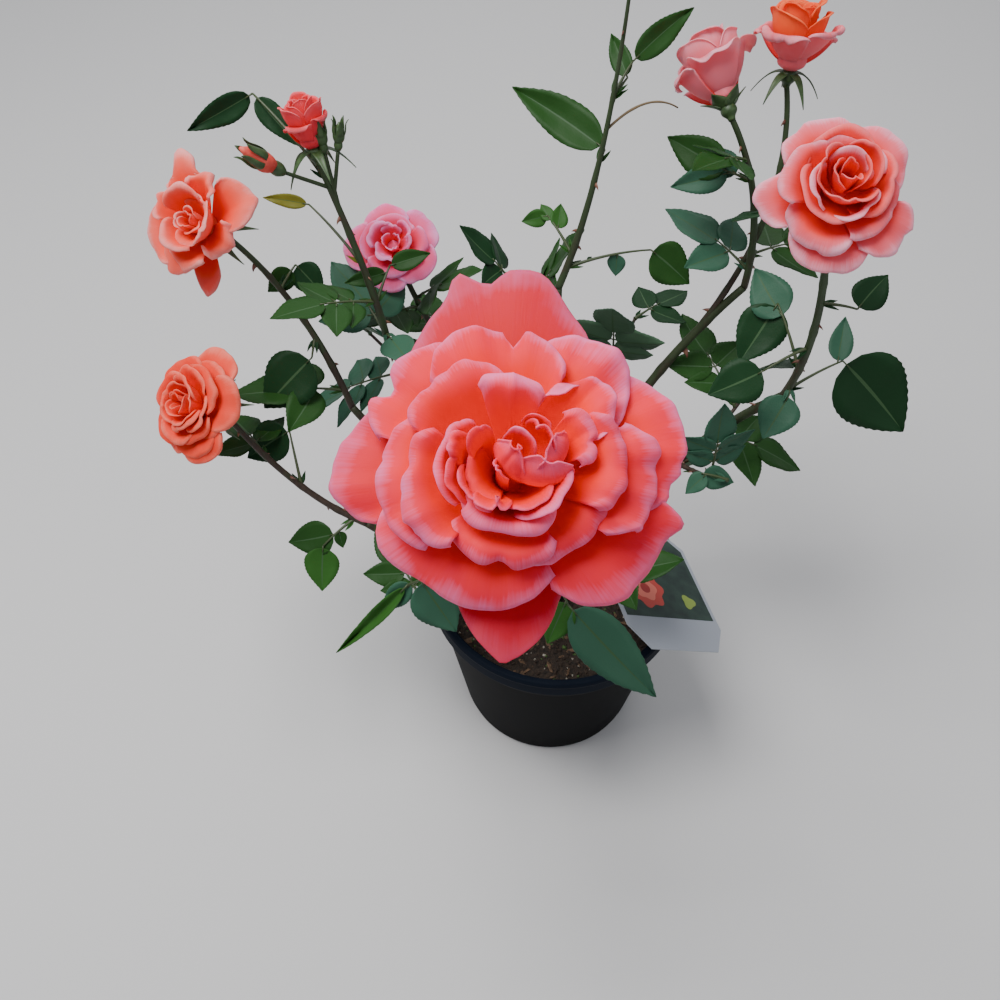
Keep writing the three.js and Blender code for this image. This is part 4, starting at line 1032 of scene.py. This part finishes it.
def plug(socket, value):
    """Gives a socket a plain value, or links another node's output to it"""
    if isinstance(value, bpy.types.NodeSocket):
        socket.id_data.links.new(value, socket)
    elif isinstance(value, tuple) and len(socket.default_value) == 4:
        socket.default_value = (*value, 1)
    else:
        socket.default_value = value


def feed(made, **values):
    for key, value in values.items():
        plug(made.inputs[key.replace("_", " ")], value)


def new_material(name, **values):
    """A Principled material with plain numbers on its sockets"""
    made = bpy.data.materials.new(name)
    made.use_nodes = True
    shader = made.node_tree.nodes["Principled BSDF"]
    feed(shader, **values)
    return made, made.node_tree, shader


def node(tree, kind, **values):
    """A node with its sockets fed and its settings made"""
    made = tree.nodes.new(kind)
    for key, value in values.items():
        if key.replace("_", " ") in made.inputs:
            feed(made, **{key: value})
        else:
            setattr(made, key, value)
    return made


def noise(tree, scale, detail=3.0, stretch=(1, 1, 1)):
    """A noise in the object's own coordinates, stretched along an axis if asked"""
    where = node(tree, "ShaderNodeTexCoord").outputs["Object"]
    where = node(tree, "ShaderNodeMapping", Vector=where, Scale=stretch).outputs["Vector"]
    return node(tree, "ShaderNodeTexNoise", Vector=where, Scale=scale, Detail=detail).outputs["Fac"]


def part_of(tree, vector, axis):
    return node(tree, "ShaderNodeSeparateXYZ", Vector=vector).outputs[axis]


def height_in(tree):
    """How high a place lies in its object, in metres"""
    return part_of(tree, node(tree, "ShaderNodeTexCoord").outputs["Object"], "Z")


def ramp(tree, value, stops):
    made = node(tree, "ShaderNodeValToRGB", Fac=value)
    elements = made.color_ramp.elements
    while len(elements) < len(stops):
        elements.new(0.5)
    for element, (position, colour) in zip(elements, stops):
        element.position = position
        element.color = (*colour, 1)
    return made.outputs["Color"]


def maths(tree, operation, *values):
    made = node(tree, "ShaderNodeMath", operation=operation)
    for socket, value in zip(made.inputs, values):
        plug(socket, value)
    return made.outputs["Value"]


def nudged(tree, value, by, amount):
    """A value moved up or down by a share of another that is about 0.5"""
    return maths(tree, "MULTIPLY_ADD", maths(tree, "SUBTRACT", by, 0.5), amount, value)


def mix(tree, share, a, b):
    made = node(tree, "ShaderNodeMix", data_type="RGBA")
    for number, value in ((0, share), (6, a), (7, b)):
        plug(made.inputs[number], value)
    return made.outputs[2]


def bump(tree, shader, height, strength, distance):
    made = node(tree, "ShaderNodeBump", Height=height, Strength=strength, Distance=distance)
    feed(shader, Normal=made.outputs["Normal"])


def petal_materials(name):
    """A bloom's petals, inside and outside: deep at the foot and paler to the rim, with fine veins. The
    deep foot is partly a painted glow of light between the petals, and the pale rim partly a painted
    highlight of sky light
    """
    depth, middle, flesh, rim = PALETTES[name]
    made = []
    for side, stops in (
        ("inside", [(0.0, depth), (0.34, depth), (0.62, middle), (0.84, flesh), (0.97, rim)]),
        ("outside", [(0.0, flesh), (0.68, flesh), (0.94, rim)]),
    ):
        mat, tree, shader = new_material(
            "petal_" + name + "_" + side, Roughness=0.6, Specular_IOR_Level=0.12,
            Subsurface_Weight=0.4, Subsurface_Scale=0.005, Subsurface_Radius=(1.0, 0.2, 0.12),
        )
        own, tones = (node(tree, "ShaderNodeUVMap", uv_map=key).outputs["UV"] for key in ("petal", "tone"))
        lengthwise = node(tree, "ShaderNodeMapping", Vector=own, Scale=(75, 2.6, 1)).outputs["Vector"]
        veins = node(tree, "ShaderNodeTexNoise", Vector=lengthwise, Scale=1.0, Detail=3.0, Distortion=0.6)
        veins = veins.outputs["Fac"]
        place = nudged(tree, part_of(tree, own, "Y"), part_of(tree, tones, "X"), 0.11)
        place = nudged(tree, nudged(tree, place, veins, 0.11), noise(tree, 70, 2.0), 0.3)
        colour = ramp(tree, place, stops)
        # Turns a petal to its accent by its red; on the largest bloom this darkening is painted shade
        colour = mix(tree, part_of(tree, tones, "Y"), colour, ACCENTS_AND_SHADE.get(name, DEEP_RED))
        feed(shader, Base_Color=colour)
        bump(tree, shader, veins, 0.22, 0.0005)
        made.append(mat)
    return made


def bark_material(name):
    """Rose bark, old and brown below, green above, with fine lengthwise cracks"""
    young, old, rough, grain, low, high = BARKS[name]
    mat, tree, shader = new_material(name, Specular_IOR_Level=0.4)
    share = node(tree, "ShaderNodeMapRange", Value=height_in(tree), From_Min=low, From_Max=high)
    blotch = noise(tree, 120, 5.0, (1, 1, 0.4))
    cracks = noise(tree, 420, 6.0, (1, 1, 0.16))
    fade = nudged(tree, share.outputs["Result"], blotch, 1.6)
    fade = ramp(tree, fade, [(0.3, (0, 0, 0)), (0.7, (1, 1, 1))])
    dark = ramp(tree, cracks, [(0.3, tuple(c * 0.55 for c in old)), (0.62, old)])
    light = ramp(tree, blotch, [(0.3, tuple(c * 0.7 for c in young)), (0.7, young)])
    feed(shader, Base_Color=mix(tree, fade, dark, light))
    feed(shader, Roughness=maths(tree, "MULTIPLY_ADD", cracks, 0.2, rough))
    bump(tree, shader, cracks, 0.6, grain)
    return mat


def speckled_material(name):
    """A grainy material between two colours"""
    dark, light, scale, rough, strength, distance = SPECKLED[name]
    mat, tree, shader = new_material(name)
    grains = noise(tree, scale, 6.0)
    colour = ramp(tree, grains, [(0.32, dark), (0.68, light)])
    feed(shader, Base_Color=colour, Roughness=maths(tree, "MULTIPLY_ADD", grains, 0.15, rough))
    bump(tree, shader, grains, strength, distance)
    return mat


def plain_material(name, colour, rough, scale, strength, distance, detail=3.0, **values):
    """One even colour with a fine grain in its surface"""
    mat, tree, shader = new_material(name, Base_Color=colour, Roughness=rough, **values)
    bump(tree, shader, noise(tree, scale, detail), strength, distance)
    return mat


def leaf_materials():
    """Greens for the upper sides, one for veins and one for the backs, each a plain colour"""
    made = []
    for name, (colour, (rough, shine, scale, strength)) in LEAF_COLOURS.items():
        values = {"Specular_IOR_Level": shine}
        made.append(plain_material("leaf_" + name, colour, rough, scale, strength, 0.0004, 2.0, **values))
    return made


def pot_material():
    """Matt black plastic, a little bluer and lighter on the lip: a painted sheen of the sky's light there
    """
    mat, tree, shader = new_material("pot_black", Specular_IOR_Level=0.05, Roughness=0.6)
    share = maths(tree, "MULTIPLY", height_in(tree), 1 / (POT["height"] * MM))
    # The height share, its edge broken by noise, where the painted lip sheen begins
    sheen_height = maths(tree, "MULTIPLY_ADD", noise(tree, 45, 4.0), 0.03, share)
    stops = [(0.0, POT_WALL), (0.905, POT_WALL), (0.925, POT_LIP_SHEEN), (1.0, POT_LIP_SHEEN)]
    feed(shader, Base_Color=ramp(tree, sheen_height, stops))
    bump(tree, shader, noise(tree, 160, 4.0), 0.1, 0.0003)
    return mat


# The pot, its soil and the label

DRAIN_TURN = 0.004  # radians that keep the rims of the drain holes off the corners of the pot's own faces
SOIL_IN = 2.9  # from the pot's outer slope to the side of the soil
SOIL_SIDE = (70, 140)  # heights of rings up its side
SOIL_EDGE = 143  # height at which its side turns into its top
SOIL_RINGS = 46
CRUMBS_REACH = 88

# Crumbs, grains of stone, splinters of bark and specks of moss: how many, least and most size
CRUMB_KINDS = {
    "soil_crumb": (1500, 0.9, 2.2), "stone_grain": (240, 0.6, 1.3), "bark_splinter": (170, 1.4, 3.4),
    "moss_speck": (210, 0.8, 1.9),
}
CRUMB_POINTS = np.array([
    (0, 0, 1), (0.94, 0, 0.33), (-0.47, 0.82, 0.33), (-0.47, -0.82, 0.33),
    (0.47, 0.82, -0.33), (-0.94, 0, -0.33), (0.47, -0.82, -0.33), (0, 0, -1),
])
CRUMB_FACES = np.array([
    (0, 1, 2, 2), (0, 2, 3, 3), (0, 3, 1, 1), (1, 4, 2, 2), (2, 4, 5, 5), (2, 5, 3, 3),
    (3, 5, 6, 6), (3, 6, 1, 1), (1, 6, 4, 4), (4, 7, 5, 5), (5, 7, 6, 6), (6, 7, 4, 4),
])


def holes_in(piece, middles, radius, deep):
    """Cuts round holes through a piece"""
    cutters = Skin()
    for middle in middles:
        turned(cutters, [(radius, -deep), (radius, deep)], middle, UP, 24)
    cutter = cutters.build("cutter", [])
    cut = piece.modifiers.new("holes", "BOOLEAN")
    cut.operation = "DIFFERENCE"
    cut.solver = "EXACT"
    cut.object = cutter
    graph = bpy.context.evaluated_depsgraph_get()
    made = bpy.data.meshes.new_from_object(piece.evaluated_get(graph))
    piece.modifiers.clear()
    piece.data = made
    bpy.data.objects.remove(cutter)


def pot_piece(material):
    """The nursery pot: a tapering wall under a rolled lip, with a slightly inset foot ring and drain holes
    """
    height, base, rim, wall, floor, lip, overhang = POT.values()
    outer = rim - overhang
    shoulder = height - lip
    slope = (outer - base) / shoulder
    outline = [
        (0.01, 0), (base - 2, 0), (base, 2), (base + 8 * slope, 8), (base + 8 * slope + 0.6, 9),
        (outer - 10 * slope - 0.2, shoulder - 12), (outer - 8 * slope + 0.4, shoulder - 10),
        (outer, shoulder), (rim - 1, shoulder), (rim, shoulder + 2), (rim - 0.6, height - 5),
        (rim, height - 3.5), (rim - 1.4, height), (outer - wall + 1, height - 0.4),
        (outer - wall, height - 3), (base - wall, floor), (0.01, floor),
    ]
    skin = Skin()
    turned(skin, rounded(outline, 1.2, 3), vec(0, 0, 0), UP, 128)
    piece = skin.build("pot_shell", [material])
    ring = [around(UP, a) * DRAIN["ring"] + UP * 1.5 for a in angles(DRAIN["count"]) + DRAIN_TURN]
    holes_in(piece, ring, DRAIN["radius"], 5)
    return piece


def soil_height(x, y):
    """The lumpy top of the soil, a little below the lip and heaped towards the stems"""
    heap = np.interp(np.hypot(x, y), [29, 58, 90], [SOIL_TOP, SOIL_TOP - 2.5, SOIL_TOP - 4])
    lumps = np.sin(x * 0.21 + 1.3 * np.sin(y * 0.13)) * np.cos(y * 0.19 + np.sin(x * 0.11))
    fine = np.sin(x * 0.83 + 2 * np.sin(y * 0.41)) * np.sin(y * 0.77 + 1.7 * np.sin(x * 0.37))
    return heap + 1.1 * lumps + 0.6 * fine - 0.8


def soil_piece(material):
    """The body of the soil, whose sides follow the pot's inner wall"""
    height, base, rim, _, floor, _, overhang = POT.values()

    def inner(z):
        return lerp(base, rim - overhang, (z - floor) / (height - 1 - floor)) - SOIL_IN

    low = floor + 0.4
    circle = np.array([around(UP, a) for a in angles(120)])
    rings = []
    for radius, z in ((0.02, low), *((inner(z), z) for z in (low, *SOIL_SIDE))):
        rings.append(circle * radius + UP * z)
    for radius in np.linspace(inner(SOIL_EDGE), 0.4, SOIL_RINGS):
        ring = circle * radius
        rings.append(ring + UP * soil_height(ring[:, 0], ring[:, 1])[:, None])
    rings = np.array(rings)
    ends = np.stack([rings[0].mean(0), rings[-1].mean(0)])
    skin = Skin()
    skin.add(np.concatenate([rings.reshape(-1, 3), ends]), tube_faces(*rings.shape[:2]))
    return skin.build("soil_body", [material])


def crumbs_piece():
    """Crumbs of soil, splinters of bark, grains of stone and green specks of moss lying on the soil"""
    draw = seeded(SEEDS["crumbs"])
    skin = Skin()
    for slot, (kind, (count, least, most)) in enumerate(CRUMB_KINDS.items()):
        long = vec(2.2, 0.7, 0.45) if kind == "bark_splinter" else 1
        for _ in range(count):
            r = CRUMBS_REACH * math.sqrt(draw())
            a = 2 * math.pi * draw()
            x, y = r * math.cos(a), r * math.sin(a)
            if math.hypot(x - KNUCKLE["x"], y - KNUCKLE["y"]) < KNUCKLE["foot"] + 2:
                continue
            size = lerp(least, most, draw() ** 2)
            stretch = vec(0.7 + 0.6 * draw(), 0.7 + 0.6 * draw(), 0.6 + 0.4 * draw()) * long
            spin = Matrix.Rotation(6.28 * draw(), 3, "Z") @ Matrix.Rotation(0.7 * (draw() - 0.5), 3, "X")
            jitter = 1 + 0.22 * np.sin(np.arange(8) * 2.4 + 6.28 * draw())[:, None]
            points = (CRUMB_POINTS * jitter * size * stretch) @ np.array(spin).T
            place = vec(x, y, soil_height(x, y) + 0.25 * size)
            skin.add(points + place, CRUMB_FACES, slot, kind == "moss_speck")
    return skin.build("soil_crumbs", [speckled_material(kind) for kind in CRUMB_KINDS])


def knuckle_piece(material):
    """The knuckle at the foot of the canes, lumpy, with its flare at the soil"""

    def lumpy(height, angle):
        broad = 0.05 * np.sin(3 * angle + height * 0.2)
        fine = 0.04 * np.sin(7 * angle - height * 0.35) + 0.03 * np.sin(height * 0.9 + 2 * angle)
        return 1 + broad + fine

    foot, waist, head, top = (KNUCKLE[key] for key in ("foot", "waist", "head", "top"))
    profile = [(foot, 0), (foot * 0.82, 4), (waist, 11), (head, 20), (head * 0.86, 26), (head * 0.45, top)]
    profile.append((0.02, top + 0.6))
    skin = Skin()
    place = vec(KNUCKLE["x"], KNUCKLE["y"], SOIL_TOP + GAP)
    turned(skin, rounded(profile, 4, 6), place, UP, 64, 0, lumpy)
    return skin.build("graft_knuckle", [material])


# The label's foot, and its directions up the card, across it and out of its printed side
LABEL_FOOT = vec(90.6, -82, 185.4)
RISING = unit(vec(-0.278, 0.96, 0.019))
ACROSS = vec(0.82, 0.248, -0.516)
ACROSS = unit(ACROSS - RISING * (ACROSS @ RISING))
FACING = np.cross(ACROSS, RISING)
PANEL = [(44, 28), (44, 94), (33, 106), (-33, 106), (-44, 94), (-44, 28)]
PANEL_TOP = LABEL["thick"] + 0.12
# Motifs on the label: (x, y, radius, lobes, how deep they are, slot)
MOTIFS = [
    (-14, 54, 17, 7, 0.1, 1), (-14, 54, 10.5, 5, 0.1, 2), (-14, 54, 4.5, 0, 0, 3), (18, 84, 9, 5, 0.14, 1),
    (18, 84, 4.5, 0, 0, 2), (26, 44, 6, 3, 0.2, 4), (-22, 88, 7.5, 3, 0.2, 4),
]
MOTIF_SIDES = 56
MOTIF_THICK = 0.06
MOTIF_STEP = 0.02  # by which each motif lies higher than the one before
STRAP_THICK = 0.64
STRAP_IN = 6  # from the card's top edge to the end of the strap
STRAP_OFF = 0.4  # from the cane's skin to its other end
LOOP_HALF = 0.016  # half of the strap's loop round the cane, as a share of the cane
LOOP_OUT = 1.6  # from the cane's skin to the loop's outer side
LOOP_THICK = 1.0


def slab(skin, outline, low, high, slot=0):
    """A flat plate of the label's, from its outline in the label's own plane"""
    flat = np.array([LABEL_FOOT + ACROSS * x + RISING * y for x, y in outline])
    rings = np.stack([flat + FACING * low, flat + FACING * high])
    skin.add(np.concatenate([*rings, rings.mean(1)]), tube_faces(2, len(flat)), slot, False)


def card_outline():
    half, length = LABEL["width"] / 2, LABEL["length"]
    inner = half - LABEL["chamfer"]
    right = [(inner, 0), (half, LABEL["shoulder"]), (half, length - LABEL["chamfer"]), (inner, length)]
    return right + [(-x, y) for x, y in reversed(right)]


def lobed_outline(x, y, radius, lobes, deep):
    a = angles(MOTIF_SIDES)
    r = radius * (1 + deep * np.cos(lobes * a))
    return zip(x + r * np.cos(a), y + r * np.sin(a))


def label_card(material):
    """The card, its strap, and the strap's loop round the cane"""
    thick, hangs = LABEL["thick"], LABEL["hangs"]
    skin = Skin()
    slab(skin, card_outline(), 0, thick)
    curve, radii = CANE_CURVES["right"], CANES["right"]["radii"]
    held = point_on(curve, hangs)
    start = LABEL_FOOT + RISING * (LABEL["length"] - STRAP_IN) + FACING * thick / 2
    way = held - start
    end = held - unit(way) * (radii[0] + STRAP_OFF)
    side = unit(np.cross(way, UP)) * LABEL["strap"] / 2
    spine = start + (end - start) * np.linspace(0, 1, 20)[:, None]
    grid = spine[:, None] + np.linspace(-1, 1, 5)[None, :, None] * side
    add_sheet(skin, layers_of(grid, STRAP_THICK))
    edges = point_on(curve, [hangs - LOOP_HALF, hangs + LOOP_HALF])
    width = np.linalg.norm(edges[1] - edges[0])
    outer = lerp(*radii, hangs) + LOOP_OUT
    inner = outer - LOOP_THICK
    tangent = way_on(curve, hangs)
    loop = np.array([
        [held + around(tangent, a) * r + tangent * h * width for a in angles(40)]
        for r, h in ((inner, -0.5), (outer, -0.5), (outer, 0.5), (inner, 0.5))
    ])
    index = np.arange(loop.size // 3).reshape(loop.shape[:2])
    corners = [index, np.roll(index, -1, 1), np.roll(index, (-1, -1), (0, 1)), np.roll(index, -1, 0)]
    skin.add(loop, np.stack(corners, -1).reshape(-1, 4), 0, False)
    return skin.build("label_card", [material])


def label_print(materials):
    """A plain printed panel with round motifs on the card's upper side"""
    skin = Skin()
    slab(skin, PANEL, LABEL["thick"] + 0.02, PANEL_TOP)
    for layer, (*shape, slot) in enumerate(MOTIFS):
        low = PANEL_TOP + MOTIF_STEP * layer
        slab(skin, lobed_outline(*shape), low, low + MOTIF_THICK, slot)
    return skin.build("label_print", materials)


# Putting the plant together

MOST_FACES = 60_000  # of leaves in one piece, each of two triangles
HIGH_UP = 470  # above which more leaves are fresh ones
DEEP, DARK, BLUE, FRESH = range(4)  # greens as LEAF_COLOURS lists them
SLOT_OF = {"back_pink": "petal_pink", "drooping": "petal_red", "bud_left": "petal_red"}


def settle(piece, slot_name, *nodes):
    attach(piece, "root")
    if nodes:
        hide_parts(*nodes)


def tone_for(place, draw):
    """Which green a leaf takes: deep low down, fresher towards the tips"""
    chance = draw()
    if chance > (0.8 if place[2] > HIGH_UP else 0.98):
        return FRESH
    return DEEP if chance < 0.35 else (DARK if chance < 0.65 else BLUE)


cane_bark = bark_material("cane_bark")
prickles = Skin()
for number, (name, cane) in enumerate(CANES.items()):
    bark = Skin()
    draw = seeded(SEEDS["canes"] + number)
    joints = [0.2 + 0.16 * k + 0.05 * draw() for k in range(5)]
    radii = (cane["radii"][0], SLIMMER * cane["radii"][1])
    add_limb(bark, CANE_CURVES[name], radii, "cane", number, joints)
    settle(bark.build("cane_" + name + "_bark", [cane_bark]), "cane", "cane_" + name)
    add_prickles(prickles, CANE_CURVES[name], radii, "cane", draw)

settle(knuckle_piece(bark_material("old_bark")), "bark", "stem_base")

twigs = Skin()
for number, (start, via, tip, *radii) in enumerate(DEAD_TWIGS):
    add_limb(twigs, limb_curve(start, via, tip), radii, "twig", number, TWIG_JOINTS)
settle(twigs.build("dead_twigs", [bark_material("dead_twig")]), "bark")

batches = [(Skin(), [])]
stems = Skin()
stalks = Skin()
calyxes = Skin()
bud_petals = Skin()
for number, (name, shoot) in enumerate(SHOOTS.items()):
    if batches[-1][0].faces > MOST_FACES:
        batches.append((Skin(), []))
    leaves, nodes = batches[-1]
    nodes.append("foliage_" + name)
    curve = SHOOT_CURVES[name]
    axis = unit(vec(*shoot["aim"]))
    tip = vec(*shoot["tip"])
    draw = seeded(SEEDS["shoots"] + number)
    tree = corners_of(nodes[-1])
    own_seed = SEEDS["leaves"] + number
    for k, (root, headings, size, leaflets) in enumerate(leaves_of(name, curve, own_seed)):
        heading, plan = solid_plan(tree, root, headings, size, leaflets)
        if plan is None or (name, k) in LEFT_OUT:
            continue
        if (name, k) in ASIDE:
            aside = np.array(Matrix.Rotation(math.radians(ASIDE[name, k]), 3, "Z"))
            plan = leaf_plan(root, aside @ heading, size, leaflets)
        green = OWN_GREENS.get((name, k), tone_for(root, draw))
        looks = [(green, BLADE_WIDTHS.get(name, LEAF["width"]))] * len(plan[1])
        own = OWN_LEAVES.get((name, k))
        if own:
            share, end, *tips = own
            plan = own_plan(root if share is None else point_on(curve, share), end, tips)
            looks = [(green, width) for _, _, width, green in tips]
        add_leaf(leaves, stalks, plan, looks, draw, own)
    radii = (SLIMMER * shoot["radii"][0], THIN_TIPS.get(name, SLIMMER) * shoot["radii"][1])
    add_limb(stems, curve, radii, "shoot", number, SHOOT_JOINTS)
    add_prickles(prickles, curve, radii, "shoot", draw)
    if shoot["ends"] == "hip":
        add_hip(calyxes, tip, axis, SEEDS["hips"] + number, name == "drooping")
    elif shoot["ends"] == "bud":
        add_bud(calyxes, bud_petals, tip, axis, 0.8, True)
    for share, foot, size, shows in SIDE_BUDS if name == BUDDED else ():
        start = point_on(curve, share)
        way = vec(*foot) - start
        add_tube(stems, start + way * np.linspace(0, 1, 8)[:, None], np.linspace(1.3, 1.2, 8), 10)
        add_bud(calyxes, bud_petals, start + way, unit(way + UP * 8), size, shows)

leaf_looks = leaf_materials()
for number, (leaves, nodes) in enumerate(batches):
    settle(leaves.build(f"leaves_{number + 1}", leaf_looks), "leaf", *nodes)
leaf_stalk = plain_material("leaf_stalk", (0.045, 0.065, 0.022), 0.45, 600, 0.2, 0.0003)
settle(stems.build("shoot_stems", [bark_material("shoot_skin")]), "cane")
settle(stalks.build("leaf_stalks", [leaf_stalk]), "leaf")
settle(calyxes.build("calyxes", [speckled_material("calyx_green")]), "leaf")
settle(prickles.build("prickles", [speckled_material("prickle_red")]), "cane")
settle(bud_petals.build("bud_tips", [speckled_material("bud_red")]), "petal_red")

for number, (name, bloom) in enumerate(BLOOMS.items()):
    piece = bloom_piece(name, bloom, number, petal_materials(name))
    settle(piece, SLOT_OF.get(name, "petal"), "bloom_" + name)

settle(pot_piece(pot_material()), "pot", "pot")
settle(soil_piece(speckled_material("soil_dark")), "soil", "potting_soil")
settle(crumbs_piece(), "soil")

# The white card is coloured a bluish grey: painted shade over the whole card
card_in_shade = plain_material("label_white_shaded", (0.30, 0.32, 0.36), 0.4, 300, 0.05, 0.0002, Coat_Weight=0.1)
inks = [plain_material("print_" + name, ink, 0.28, 300, 0.02, 0.0001) for name, ink in INKS.items()]
settle(label_card(card_in_shade), "label", "plant_label")
settle(label_print([speckled_material("print_green"), *inks]), "label")


# The stage: a plain pale floor and soft studio light

FLOOR_HALF = 3000
FLOOR_TOP = -0.2
LIT_PLACE = Vector((0, 0, 0.35))  # in metres, where the lamps point
WORLD = {"Color": (0.86, 0.90, 1.0), "Strength": 0.41}
# Each lamp's place in metres, power in watts and size in metres
LAMPS = {
    "key": ((-0.6, -0.1, 2.05), 46, 1.0),
    "fill": ((1.3, -0.9, 1.5), 5, 1.6),
    "back": ((0.2, 1.6, 1.5), 9, 1.4),
}


def put(name, data, place, turn):
    """A lamp or the camera in its place"""
    holder = bpy.data.objects.new(name, data)
    holder.location = place
    holder.rotation_euler = turn
    bpy.context.scene.collection.objects.link(holder)
    return holder


floor_skin = Skin()
ways = ((-1, -1), (1, -1), (1, 1), (-1, 1))
corners = np.array([(x * FLOOR_HALF, y * FLOOR_HALF, FLOOR_TOP) for x, y in ways])
floor_skin.add(corners, np.array([(0, 1, 2, 3)]), 0, False)
floor_pale = new_material("floor_pale", Base_Color=(0.62, 0.61, 0.60), Roughness=0.85)[0]
floor = floor_skin.build("floor", [floor_pale])

world = bpy.data.worlds.new("studio")
world.use_nodes = True
feed(world.node_tree.nodes["Background"], **WORLD)
bpy.context.scene.world = world
for name, (place, power, size) in LAMPS.items():
    lamp = bpy.data.lights.new(name, "AREA")
    lamp.energy = power
    lamp.size = size
    put(name, lamp, place, (LIT_PLACE - Vector(place)).to_track_quat("-Z", "Y").to_euler())

view = bpy.data.cameras.new("camera")
view.sensor_width = CAMERA["sensor"]
view.lens = CAMERA["lens"]
tilt = math.radians(90 - CAMERA["tilt"])
bpy.context.scene.camera = put("camera", view, CAMERA["place"], (tilt, 0, 0))

bpy.context.view_layer.update()
